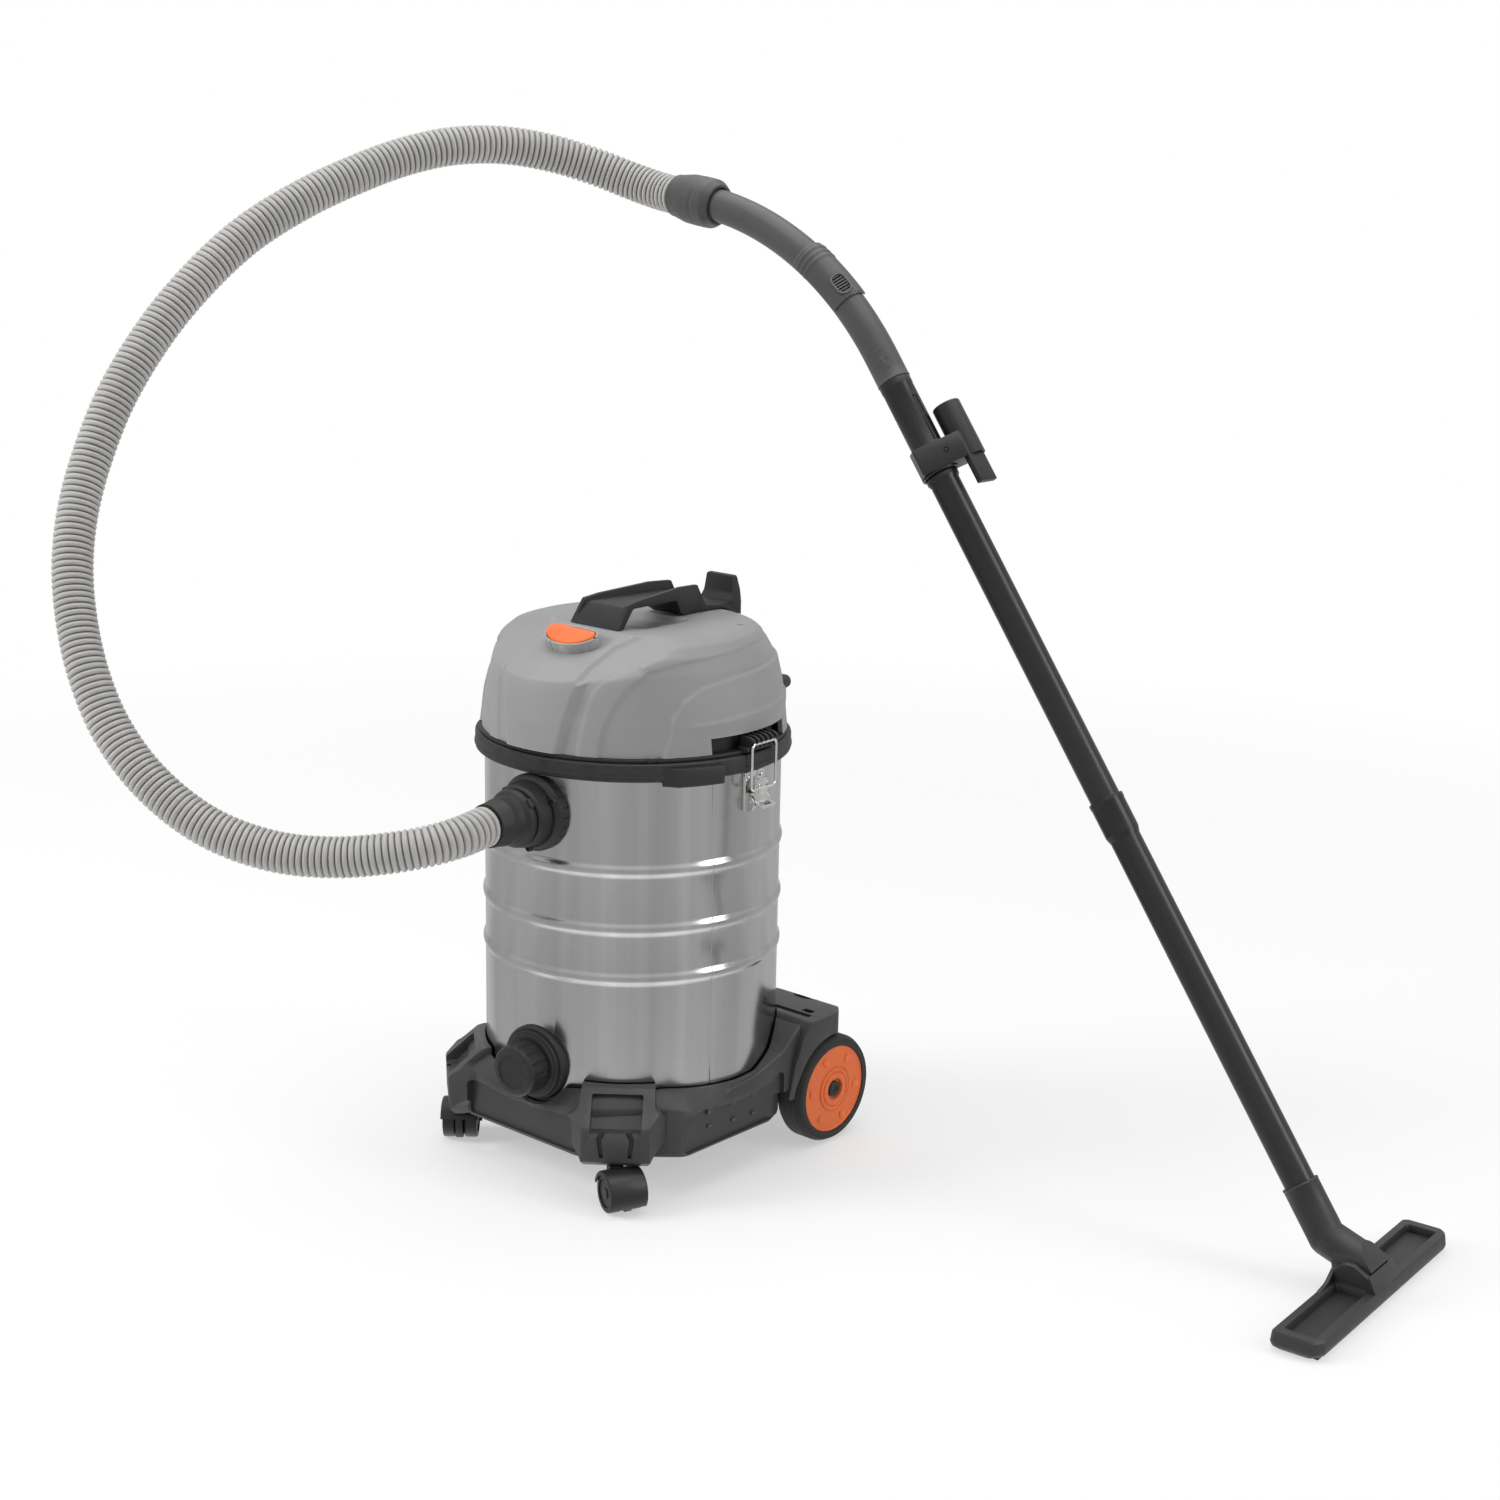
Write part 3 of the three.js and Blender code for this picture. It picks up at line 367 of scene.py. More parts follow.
def bright_metal(name, color, roughness, scratches=260):
    """Plated or turned metal with fine scratches and a trace of grime."""
    material, tree, shader, place = new_material(name, roughness, 1.0)
    grime = noise(tree, place, 45, 4)
    body = between(tree, grime, scaled(color, 0.8), color)
    tree.links.new(body, shader.inputs["Base Color"])
    fine = noise(tree, place, scratches, 5, 0.7)
    tree.links.new(math_node(tree, "MULTIPLY_ADD", fine, 0.2, roughness - 0.08),
                   shader.inputs["Roughness"])
    bump(tree, shader, fine, 0.08, 0.0002)
    return material


def rubber(name, color, roughness=0.8):
    material, tree, shader, place = new_material(name, roughness)
    dust = noise(tree, place, 30, 5, 0.65)
    body = between(tree, dust, color, scaled(color, 1.7))
    # convex edges made lighter: partly worn, dusty rubber, partly a painted highlight
    rubbed_and_highlit = blended(tree, edge_share(tree, 0.52, 0.62), body, scaled(color, 2.6))
    tree.links.new(rubbed_and_highlit, shader.inputs["Base Color"])
    bump(tree, shader, noise(tree, place, 700, 3), 0.35, 0.0002)
    return material


def hose_plastic(name):
    """Soft ribbed plastic: pale crests, and grooves darkened with painted shade."""
    color = (0.43, 0.422, 0.404)
    material, tree, shader, place = new_material(name, 0.38)
    flow = noise(tree, place, 9, 3)
    body = between(tree, flow, scaled(color, 0.93), scaled(color, 1.06))
    # the hollow grooves are painted near black: painted shade in the creases
    painted_groove_shade = blended(tree, edge_share(tree, 0.44, 0.53), (0.05, 0.049, 0.047), body)
    tree.links.new(painted_groove_shade, shader.inputs["Base Color"])
    bump(tree, shader, noise(tree, place, 500, 2), 0.12, 0.0002)
    return material


def fleece(name, color):
    material, tree, shader, place = new_material(name, 0.95)
    fibres = noise(tree, place, 420, 6, 0.75)
    tree.links.new(between(tree, fibres, scaled(color, 0.8), color), shader.inputs["Base Color"])
    bump(tree, shader, fibres, 0.5, 0.0006)
    return material


def make_materials():
    black = (0.017, 0.0175, 0.0175)
    return {
        "steel": steel("tank_steel", (0.50, 0.50, 0.495), 0.20),
        "chrome": bright_metal("bright_plate", (0.78, 0.78, 0.77), 0.16),
        "axle_steel": bright_metal("turned_steel", (0.55, 0.55, 0.55), 0.3),
        "motor_steel": bright_metal("pressed_steel", (0.5, 0.5, 0.5), 0.4),
        "rotor_metal": bright_metal("cast_rotor", (0.6, 0.55, 0.48), 0.45),
        "head_grey": plastic("head_grey_plastic", (0.285, 0.287, 0.286), 0.5, spread=0.04,
                             edge=1.35),
        "orange": plastic("orange_plastic", (0.80, 0.165, 0.04), 0.4, spread=0.05, edge=1.12),
        "black_plastic": plastic("black_moulded", black, 0.52),
        "base_plastic": plastic("base_moulded", (0.042, 0.043, 0.0435), 0.46, spread=0.1, edge=1.8),
        "caster_plastic": plastic("caster_moulded", (0.016, 0.016, 0.017), 0.4),
        "rubber_tyre": rubber("tyre_rubber", (0.013, 0.0125, 0.012)),
        "rubber_seal": rubber("seal_rubber", (0.013, 0.013, 0.013), 0.7),
        "foam": fleece("open_foam", (0.05, 0.05, 0.052)),
        "filter_paper": fleece("pleated_fleece", (0.74, 0.72, 0.67)),
        "hose_grey": hose_plastic("hose_plastic"),
        "grip_grey": plastic("grip_moulded", (0.060, 0.062, 0.060), 0.38, edge=1.6),
        "wand_black": plastic("wand_moulded", (0.013, 0.0135, 0.0135), 0.3, depth=0.12),
        "nozzle_black": plastic("nozzle_moulded", (0.026, 0.027, 0.026), 0.45, edge=1.9),
    }


# ---------- mesh tools ----------
def mesh_object(name, points, faces):
    mesh = bpy.data.meshes.new(name)
    mesh.from_pydata([Vector(p) * MM for p in points], [], faces)
    made = bpy.data.objects.new(name, mesh)
    bpy.context.scene.collection.objects.link(made)
    work = bmesh.new()
    work.from_mesh(mesh)
    bmesh.ops.recalc_face_normals(work, faces=work.faces)
    work.to_mesh(mesh)
    work.free()
    return made


def rounded(corners, steps=4, closed=True):
    """Corners (a, b) or (a, b, radius); a corner with a radius becomes an arc."""
    count = len(corners)
    points = []
    for i, corner in enumerate(corners):
        here = Vector(corner[:2])
        radius = corner[2] if len(corner) > 2 else 0
        if not radius or (not closed and i in (0, count - 1)):
            points.append(tuple(here))
            continue
        before = Vector(corners[i - 1][:2]) - here
        after = Vector(corners[(i + 1) % count][:2]) - here
        opening = before.angle(after)
        if opening > math.radians(176):
            points.append(tuple(here))
            continue
        reach = radius / math.tan(opening / 2)
        reach = min(reach, 0.48 * before.length, 0.48 * after.length)
        radius = reach * math.tan(opening / 2)
        middle = (before.normalized() + after.normalized()).normalized()
        centre = here + middle * (radius / math.sin(opening / 2))
        first = here + before.normalized() * reach - centre
        last = here + after.normalized() * reach - centre
        sweep = first.angle(last)
        for k in range(steps + 1):
            share = k / steps
            spot = (math.sin((1 - share) * sweep) * first + math.sin(share * sweep) * last)
            points.append(tuple(centre + spot / math.sin(sweep)))
    return points


def turned(name, profile, sides=72, steps=3, angles=None, reshape=None):
    """A profile of (radius, height) or (radius, height, fillet) turned about Z."""
    on_axis = profile[0][0] == 0
    outline = rounded(profile, steps, closed=not on_axis)
    if angles is None:
        angles = [2 * math.pi * i / sides for i in range(sides)]
    sides = len(angles)
    points, rings = [], []
    for r, z in outline:
        if r < 1e-6:
            rings.append([len(points)])
            points.append((0, 0, z))
            continue
        rings.append(list(range(len(points), len(points) + sides)))
        for angle in angles:
            here = reshape(r, z, angle) if reshape else r
            points.append((here * math.cos(angle), here * math.sin(angle), z))
    pairs = list(zip(rings, rings[1:]))
    if not on_axis:
        pairs.append((rings[-1], rings[0]))
    faces = []
    for one, two in pairs:
        for i in range(sides):
            j = (i + 1) % sides
            if len(one) == 1 and len(two) > 1:
                faces.append((one[0], two[i], two[j]))
            elif len(two) == 1 and len(one) > 1:
                faces.append((one[i], one[j], two[0]))
            elif len(one) > 1:
                faces.append((one[i], one[j], two[j], two[i]))
    return mesh_object(name, points, faces)


def prism(name, outline, start, end, steps=4):
    """An outline (x, y) with optional corner radii, raised along Z from start to end."""
    flat = rounded(outline, steps)
    count = len(flat)
    points = [(x, y, start) for x, y in flat] + [(x, y, end) for x, y in flat]
    sides = [(i, (i + 1) % count, count + (i + 1) % count, count + i) for i in range(count)]
    return mesh_object(name, points, [tuple(reversed(range(count))),
                                      tuple(range(count, 2 * count)), *sides])


def across(name, outline, start, end, steps=4):
    """An outline (y, z) drawn along X from start to end."""
    made = prism(name, outline, start, end, steps)
    made.data.transform(Matrix(((0, 0, 1, 0), (1, 0, 0, 0), (0, 1, 0, 0), (0, 0, 0, 1))))
    return made


def drawn_along_y(name, outline, start, end, steps=4):
    """An outline (x, z) drawn along Y."""
    made = prism(name, outline, start, end, steps)
    made.data.transform(Matrix(((1, 0, 0, 0), (0, 0, 1, 0), (0, 1, 0, 0), (0, 0, 0, 1))))
    made.data.flip_normals()
    return made


def block(name, x0, x1, y0, y1, z0, z1):
    return prism(name, [(x0, y0), (x1, y0), (x1, y1), (x0, y1)], z0, z1)


def lofted(name, loops, ends="capped"):
    """Loops of points with equal counts, skinned one to the next; joined up or capped."""
    count = len(loops[0])
    points = [p for loop in loops for p in loop]
    faces = []
    pairs = [(k, k + 1) for k in range(len(loops) - 1)]
    if ends == "joined":
        pairs.append((len(loops) - 1, 0))
    for one, two in pairs:
        for i in range(count):
            j = (i + 1) % count
            faces.append((one * count + i, one * count + j, two * count + j, two * count + i))
    if ends == "capped":
        faces.append(tuple(reversed(range(count))))
        faces.append(tuple(range((len(loops) - 1) * count, len(loops) * count)))
    return mesh_object(name, points, faces)


def bake(made):
    """Applies the modifiers to the mesh."""
    graph = bpy.context.evaluated_depsgraph_get()
    mesh = bpy.data.meshes.new_from_object(made.evaluated_get(graph))
    made.modifiers.clear()
    old = made.data
    made.data = mesh
    bpy.data.meshes.remove(old)
    return made


def combined(made, operation, tools):
    for tool in tools:
        modifier = made.modifiers.new("combine", "BOOLEAN")
        modifier.object = tool
        modifier.operation = operation
        modifier.solver = "MANIFOLD"
    bake(made)
    for tool in tools:
        mesh = tool.data
        bpy.data.objects.remove(tool)
        bpy.data.meshes.remove(mesh)
    return made


def cut(made, *tools):
    return combined(made, "DIFFERENCE", tools)


def join(made, *tools):
    return combined(made, "UNION", tools)


def keep(made, *tools):
    return combined(made, "INTERSECT", tools)


def group(made, *others):
    """Puts separate shells into one object without joining their surfaces."""
    work = bmesh.new()
    for part in (made, *others):
        work.from_mesh(part.data)
    work.to_mesh(made.data)
    work.free()
    for part in others:
        mesh = part.data
        bpy.data.objects.remove(part)
        bpy.data.meshes.remove(mesh)
    return made


def soften(made, width, segments=2, angle=32):
    """Rounds the edges that are sharper than an angle."""
    work = bmesh.new()
    work.from_mesh(made.data)
    bmesh.ops.remove_doubles(work, verts=work.verts, dist=0.00002)
    bmesh.ops.dissolve_limit(work, angle_limit=math.radians(1.0), verts=work.verts,
                             edges=work.edges, delimit=set())
    work.to_mesh(made.data)
    work.free()
    modifier = made.modifiers.new("edges", "BEVEL")
    modifier.width = width * MM
    modifier.segments = segments
    modifier.limit_method = "ANGLE"
    modifier.angle_limit = math.radians(angle)
    modifier.use_clamp_overlap = True
    return bake(made)


def turn(made, degrees, axis="Z", centre=(0, 0, 0)):
    middle = Matrix.Translation(Vector(centre) * MM)
    spin = Matrix.Rotation(math.radians(degrees), 4, axis)
    made.data.transform(middle @ spin @ middle.inverted())
    return made


def move(made, x, y, z):
    made.data.transform(Matrix.Translation(Vector((x, y, z)) * MM))
    return made


def copy_of(made, name):
    other = bpy.data.objects.new(name, made.data.copy())
    bpy.context.scene.collection.objects.link(other)
    return other


def forward(made, height):
    """Lays a piece turned about Z so that its axis points out from the tank's front."""
    made.data.transform(Matrix.Rotation(math.pi / 2, 4, "X"))
    return turn(move(made, 0, 0, height), TANK_TURN)


materials = make_materials()


def finish_piece(made, body, slot, *nodes, angle=38):
    """Shades, paints and hangs a finished piece on its body."""
    made.data.shade_smooth()
    made.data.set_sharp_from_angle(angle=math.radians(angle))
    made.data.materials.clear()
    made.data.materials.append(materials[slot])
    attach(made, body)
    if nodes:
        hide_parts(*nodes)
    return made


def dressed(node, slot):
    """A CAD node whose shape stays, with its own material."""
    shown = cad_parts[node]
    shown.data.materials.clear()
    shown.data.materials.append(materials[slot])
    shown.data.shade_smooth()
    shown.data.set_sharp_from_angle(angle=math.radians(30))
    return shown


# ---------- tubes along a line ----------
def curve_points(route):
    """Fine points on the centripetal curve through a route, and the length up to each."""
    inner = [Vector(p) for p in route]
    points = [2 * inner[0] - inner[1], *inner, 2 * inner[-1] - inner[-2]]
    fine = []
    for a, b, c, d in zip(points, points[1:], points[2:], points[3:]):
        t1 = (b - a).length ** 0.5
        t2 = t1 + (c - b).length ** 0.5
        t3 = t2 + (d - c).length ** 0.5
        for k in range(24):
            t = t1 + (t2 - t1) * k / 24
            near = a.lerp(b, t / t1).lerp(b.lerp(c, (t - t1) / (t2 - t1)), t / t2)
            far = b.lerp(c, (t - t1) / (t2 - t1)).lerp(c.lerp(d, (t - t2) / (t3 - t2)),
                                                       (t - t1) / (t3 - t1))
            fine.append(near.lerp(far, (t - t1) / (t2 - t1)))
    fine.append(inner[-1])
    fine = np.array([tuple(p) for p in fine])
    steps = np.linalg.norm(np.diff(fine, axis=0), axis=1)
    return fine, np.concatenate([[0], np.cumsum(steps)])


def points_at(fine, lengths, wanted):
    return np.stack([np.interp(wanted, lengths, fine[:, k]) for k in range(3)], axis=1)


def sections(spine):
    """Two directions across the line at each point, carried along without twisting."""
    heading = np.gradient(spine, axis=0)
    heading /= np.linalg.norm(heading, axis=1)[:, None]
    side = np.cross(heading[0], (0.1, 1.0, 0.2))
    sides = []
    for t in heading:
        side = side - t * side.dot(t)
        side /= np.linalg.norm(side)
        sides.append(side)
    sides = np.array(sides)
    return sides, np.cross(heading, sides)


def swept(name, spine, outer, inner=None, count=32):
    """A round tube along points in millimetres, with a radius at each, hollow or full."""
    spine = np.asarray(spine, float)
    one, two = sections(spine)

    def loops(radii):
        radii = np.broadcast_to(radii, len(spine))
        made = []
        for at, a, b, r in zip(spine, one, two, radii):
            angles = [2 * math.pi * k / count for k in range(count)]
            made.append([at + r * (math.cos(w) * a + math.sin(w) * b) for w in angles])
        return made

    if inner is None:
        return lofted(name, loops(outer))
    return lofted(name, loops(outer) + loops(inner)[::-1], ends="joined")


# ---------- hose ----------
def make_hose():
    fine, lengths = curve_points(HOSE_ROUTE)
    total = float(lengths[-1])
    pitches = round(total / 0.0066)
    profile = [(0, 18.6), (0.14, 20.2), (0.30, 21), (0.62, 21), (0.78, 20.2), (0.92, 18.6)]
    wanted = [(k + share) / pitches * total for k in range(pitches) for share, _ in profile]
    radii = [r for _ in range(pitches) for _, r in profile]
    wanted.append(total)
    radii.append(18.6)
    spine = points_at(fine, lengths, wanted)
    hose = swept("suction_hose", spine / MM, radii, count=28)
    finish_piece(hose, "machine", "hose_grey", "hose", angle=60)


# ---------- tank ----------
def bead(height):
    """A rolled bead's profile, steeper above and longer below."""
    rise = [(-9, 0), (-6, 0.5), (-4, 1.35), (-2, 2.2), (0, 2.6), (2, 2.6), (4, 2.1), (6, 0.9),
            (8, 0.15), (9, 0)]
    return [(TANK_R + out, height + z) for z, out in rise]


def make_tank():
    seam = math.radians(75 - 90)
    angles = sorted([2 * math.pi * i / 144 for i in range(144)]
                    + [2 * math.pi + seam + math.radians(d) for d in (-0.5, -0.28, 0, 0.28, 0.5)])

    def groove(r, z, angle):
        off = math.degrees(abs(angle - 2 * math.pi - seam))
        inside = r > TANK_R - 0.5 and TANK_FOOT + 9 < z < TANK_TOP - 6
        return r - 0.8 if inside and off < 0.29 else r

    profile = [(0, TANK_FOOT), (146, TANK_FOOT), (154, TANK_FOOT + 2), (158, TANK_FOOT + 5),
               (TANK_R, TANK_FOOT + 10)]
    for height in (191, 245, 308):
        profile += bead(height)
    inner = TANK_R - 2
    profile += [(TANK_R, TANK_TOP - 4), (TANK_R + 4, TANK_TOP - 4), (TANK_R + 4, TANK_TOP),
                (inner, TANK_TOP), (inner, TANK_FOOT + 11), (154, TANK_FOOT + 5),
                (147, TANK_FOOT + 2), (0, TANK_FOOT + 2)]
    tank = turned("tank_shell", profile, angles=angles, reshape=groove)
    inlet = forward(turned("inlet_hole", [(0, 140), (25, 140), (25, 180), (0, 180)]), INLET_Z)
    drain = forward(turned("drain_hole", [(0, 140), (21, 140), (21, 180), (0, 180)]), DRAIN_Z)
    cut(tank, inlet, drain)
    finish_piece(tank, "machine", "steel", "tank", angle=26)


def plan_arc(radius, start, end, step=1.5):
    """Points in (x, y) on an arc between two azimuths from the front towards +X."""
    count = max(2, round(abs(end - start) / step))
    spots = []
    for i in range(count + 1):
        azimuth = math.radians(start + (end - start) * i / count)
        spots.append((radius * math.sin(azimuth), -radius * math.cos(azimuth)))
    return spots


def make_ring():
    ring = turned("rim_ring", [(165.4, 405, 0.6), (RING_R, 406, 2.5), (RING_R, RING_TOP - 0.2, 2.6),
                               (TANK_R + 1.4, RING_TOP, 1), (TANK_R + 1.4, 409),
                               (165.4, 409)], sides=144)
    band = turned("rim_band", [(RING_R - 1, 409.5), (RING_R + 0.9, 410.5), (RING_R + 0.9, 412),
                               (RING_R - 1, 413)], sides=144)
    outline = plan_arc(RING_R - 4, 76, 54) + plan_arc(RING_R, 54, 55) + plan_arc(177, 59, 76)
    lug = soften(prism("rim_lug", outline, 401, 420.5), 1.3)
    join(ring, band, lug)
    finish_piece(ring, "machine", "black_plastic", "tank_rim_ring")


# ---------- inlet and drain ----------
def make_inlet():
    flange = turned("inlet_boss", [(26, 148), (41, 148), (41, 166, 1.5), (38.5, 169, 1.2),
                                   (36, 171, 1),
                                   (33, 171), (33, 187, 2), (30.5, 190, 1), (26, 190, 0.8)])
    for k in range(3):
        angle = math.radians(30 + 120 * k)
        boss = turned("screw_boss", [(0, 160), (4.6, 160), (4.6, 172.5, 1), (0, 172.5)], sides=20)
        head = turned("screw_dip", [(0, 171), (2.6, 171), (2.6, 180), (0, 180)], sides=16)
        for piece in (boss, head):
            move(piece, 36.5 * math.cos(angle), 36.5 * math.sin(angle), 0)
        join(flange, boss)
        cut(flange, head)
    for k in range(24):
        angle = 15 * k
        nick = turn(block("nick", 40.2, 44, -0.7, 0.7, 150, 163), angle)
        cut(flange, nick)
    forward(flange, INLET_Z)
    cut(flange, turned("tank_space", [(0, 0), (160.4, 0), (160.4, 430), (0, 430)], sides=144))
    finish_piece(flange, "machine", "black_plastic", "inlet_flange")

    cuff = turned("hose_end", [(20, 162), (25.4, 162), (25.4, 191), (30, 191.5, 1), (31, 196, 2),
                               (29, 200, 2), (25.2, 203.5, 2), (24.4, 213), (25.1, 214, 0.4),
                               (25.0, 217, 0.4), (24.2, 218), (22.8, 234.6, 1), (18, 234.6),
                               (18, 200), (20, 190)])
    for k in range(2):
        wing = block("cuff_wing", 27, 33.4, -5, 5, 192.5, 198.5)
        join(cuff, turn(soften(wing, 1.2), 180 * k + 40))
    finish_piece(forward(cuff, INLET_Z), "inlet_cuff", "black_plastic", "hose_cuff")


def make_drain():
    collar = turned("drain_boss", [(20.5, 148), (41, 148), (41, 162, 1.5), (39, 165, 1),
                                   (36.5, 165),
                                   (36.5, 168, 1), (33, 169), (33, 171.2, 1), (25, 171.2),
                                   (25, 176, 0.6), (20.5, 176)])
    forward(collar, DRAIN_Z)
    cut(collar, turned("tank_space", [(0, 0), (160.4, 0), (160.4, 430), (0, 430)], sides=144))
    finish_piece(collar, "machine", "black_plastic", "drain_collar")

    cap = turned("drain_cap_shell", [(0, 199), (22.5, 199), (25.5, 197.6, 1.5), (28, 194, 2),
                                     (28, 171.6, 0.8), (25.6, 171.6), (25.6, 183), (0, 183)],
                                     sides=96)
    for k in range(14):
        flute = turned("flute", [(0, 165), (2.4, 165), (2.4, 192), (1.4, 196), (0, 197)], sides=14)
        cut(cap, turn(move(flute, 29.3, 0, 0), 360 / 14 * k))
    dish = turned("cap_dish", [(0, 197.8), (18, 197.8), (19.5, 200), (0, 200)], sides=64)
    cut(cap, dish)
    finish_piece(forward(cap, DRAIN_Z), "drain_plug", "black_plastic", "drain_cap")


# ---------- latches ----------
def wire(name, points, radius, turns=5.0, loop=False):
    """A bent wire through points, with rounded bends."""
    bends = []
    count = len(points)
    for i, point in enumerate(points):
        here = Vector(point)
        if not loop and i in (0, count - 1):
            bends.append(tuple(here))
            continue
        before = Vector(points[i - 1]) - here
        after = Vector(points[(i + 1) % count]) - here
        reach = min(turns, before.length / 2.1, after.length / 2.1)
        first = here + before.normalized() * reach
        last = here + after.normalized() * reach
        for k in range(6):
            share = k / 5
            bends.append(tuple(first.lerp(here, share).lerp(here.lerp(last, share), share)))
    if loop:
        bends += bends[:1]
    return swept(name, bends, radius, count=12)


def on_side(made, side):
    return turn(made, side * 90 + TANK_TURN)


def make_latch(side, tag):
    front = -TANK_R
    plate = soften(block("latch_plate", -17, 17, front - 3, front + 3, 362, 403), 0.8)
    ears = []
    for x in (-15, 12):
        outline = [(front - 1, 362), (front - 9, 362, 3), (front - 12, 366, 3),
                   (front - 12, 374, 4),
                   (front - 6, 380, 3), (front - 1, 382)]
        ears.append(across("latch_ear", outline, x, x + 3))
    join(plate, *ears)
    for x, z in ((-11, 397), (11, 397), (0, 385)):
        rivet = turned("rivet", [(0, 0), (2.6, 0), (2.4, 1.2), (1.2, 1.8), (0, 1.9)], sides=20)
        rivet.data.transform(Matrix.Rotation(math.pi / 2, 4, "X"))
        group(plate, move(rivet, x, front - 3, z))
    bracket = on_side(plate, side)
    cut(bracket, turned("tank_space", [(0, 0), (160.4, 0), (160.4, 430), (0, 430)], sides=144))
    finish_piece(bracket, "machine", "chrome", f"latch_bracket_{tag}")

    lever_line = [(front - 9.6, 396, 0.6), (front - 9.6, 376, 2), (front - 5, 374, 1.5),
                  (front - 4.6, 369.4, 1.5), (front - 9, 368, 1), (front - 22, 366.6, 0.6),
                  (front - 22.6, 369.6, 0.6), (front - 12.6, 371.4, 2), (front - 11.8, 378),
                  (front - 11.8, 396, 0.6)]
    lever = soften(across("latch_handle", lever_line, -11, 11), 0.4)
    ridge = soften(block("lever_ridge", -6, 6, front - 13, front - 10.5, 378, 391), 1)
    pin = across("lever_pin", [(front - 7 + 2 * math.cos(a * math.pi / 8),
                                372 + 2 * math.sin(a * math.pi / 8)) for a in range(16)], -16.6,
                                16.6)
    join(lever, ridge, pin)
    finish_piece(on_side(lever, side), f"latch_{tag}", "chrome", f"latch_lever_{tag}")

    out = front - 14
    corners = [(-21, out, 386), (-21, out, 435), (21, out, 435), (21, out, 386)]
    bail = wire("latch_wire", [(0, out, 386), *corners, (0, out, 386)], 1.6, 6)
    finish_piece(on_side(bail, side), f"bail_{tag}", "chrome", f"latch_bail_{tag}")


# ---------- lower plate of the head ----------
def make_chassis():
    plate = turned("head_plate", [(52, 425.4), (146, 425.4), (146, 412), (151, 412, 1),
                                  (151, 425.4),
                                  (166, 425.4, 0.8), (166, 429, 0.8), (52, 429)], sides=144)
    seat = turned("motor_seat", [(47.5, 421), (58, 421), (58, 427), (47.5, 427)])
    join(plate, seat)
    for azimuth in (49, 53):
        rib = soften(block("edge_rib", -0.9, 0.9, -167.6, -164, 426, 430.5), 0.3)
        join(plate, turn(rib, azimuth))
    for side in (-1, 1):
        base = soften(block("keeper_base", -26, 26, -172, -158, 428, 433), 1)
        ribs = []
        for x in (-20, -12, -4, 4, 12, 20):
            ribs.append(soften(across("keeper_rib", [(-158, 430), (-173, 430, 1), (-175.5, 433, 2),
                                                     (-177, 440, 3), (-171, 443, 3), (-158, 444)],
                                      x - 1.6, x + 1.6), 0.4))
        hook = across("keeper_hook", [(-160, 431), (-172, 431), (-172, 438.4, 1), (-160, 440)], -18,
                      18)
        keeper = join(base, hook, *ribs)
        hollow = across("wire_room", [(-174 + 2.2 * math.cos(a * math.pi / 8),
                                       435 + 2.2 * math.sin(a * math.pi / 8)) for a in range(16)],
                        -23.5, 23.5)
        slot = block("wire_way", -23.5, 23.5, -184, -174, 432.8, 437.2)
        cut(keeper, hollow, slot)
        join(plate, on_side(keeper, side))
        outline = plan_arc(150, side * 90 + 5 - 22, side * 90 + 5 + 22)
        outline += plan_arc(153, side * 90 + 5 + 22, side * 90 + 5 - 22)
        join(plate, prism("gate_wall", outline, 428, 450))
    finish_piece(plate, "head", "black_plastic", "head_chassis")


# ---------- cover ----------
COVER_CENTRE = 4.0                                # azimuth of the front panel's middle
# where each raised or sunk line runs: (height, azimuth from the panel's middle)
PANEL_EDGE = [(429, 10.5), (432, 11), (470, 14), (505, 18), (526, 20), (533, 26), (538, 32)]
PANEL_FOOT = [(429, 14), (435, 14.4), (462, 16.8), (500, 20.8), (517, 23.5), (528, 27.5), (538, 36)]
SWEEPS = [
    # rise beyond the line, and the line itself
    (1.6, [(430, 19), (436, 19.4), (471, 21.6), (497, 24.7), (512, 29), (520, 35), (528, 42)]),
    (-1.9, [(430, 27.2), (438, 27.6), (462, 29.4), (486, 33.8), (502, 38.4), (515, 45.7),
            (523, 59), (527, 79.6), (530, 100), (532, 180)]),
    (2.8, [(430, 50), (443, 51.6), (453, 52.8), (468, 53.7), (485, 58.4), (498, 66.6), (504, 82),
           (507, 105), (509, 180)]),
]
RIDGE = [(459, 58), (461, 70), (464, 85), (466, 103), (468, 150), (468, 180)]


def cover_outline():
    """The cover's smooth profile as radius and height, from its lower edge to the middle."""
    corners = [(163, COVER_LOW, 0), (161.8, 440, 0), (160, 460, 40), (156, 485, 60), (150, 510, 40),
               (142.5, 527, 18), (132, 536.6, 14), (118, 540.8, 12), (100, 541.6, 0), (0, 542, 0)]
    smooth = rounded([(r, z, f) for r, z, f in corners], 5, closed=False)
    line = np.array(smooth)
    steps = np.concatenate([[0], np.cumsum(np.linalg.norm(np.diff(line, axis=0), axis=1))])
    side = np.arange(0, 128, 1.25)
    top = np.linspace(128, steps[-1] - 0.01, 40)
    wanted = np.concatenate([side, top])
    rows = np.stack([np.interp(wanted, steps, line[:, k]) for k in (0, 1)], axis=1)
    return rows


SLOPE = math.radians(23.7)                        # how far the cover's front top tips down
SLOPE_START = -62.0
SWITCH_Y = -92.5


def slope_height(y, lift=0.0):
    """Height of the sloping front of the cover, which meets the flat top at its start."""
    return 542 + lift + (y - SLOPE_START) * math.tan(SLOPE)


def on_slope(made):
    """Stands a piece made flat about the origin on the sloping panel, at the switch."""
    made.data.transform(Matrix.Rotation(SLOPE, 4, "X"))
    return move(made, 0, SWITCH_Y, slope_height(SWITCH_Y))


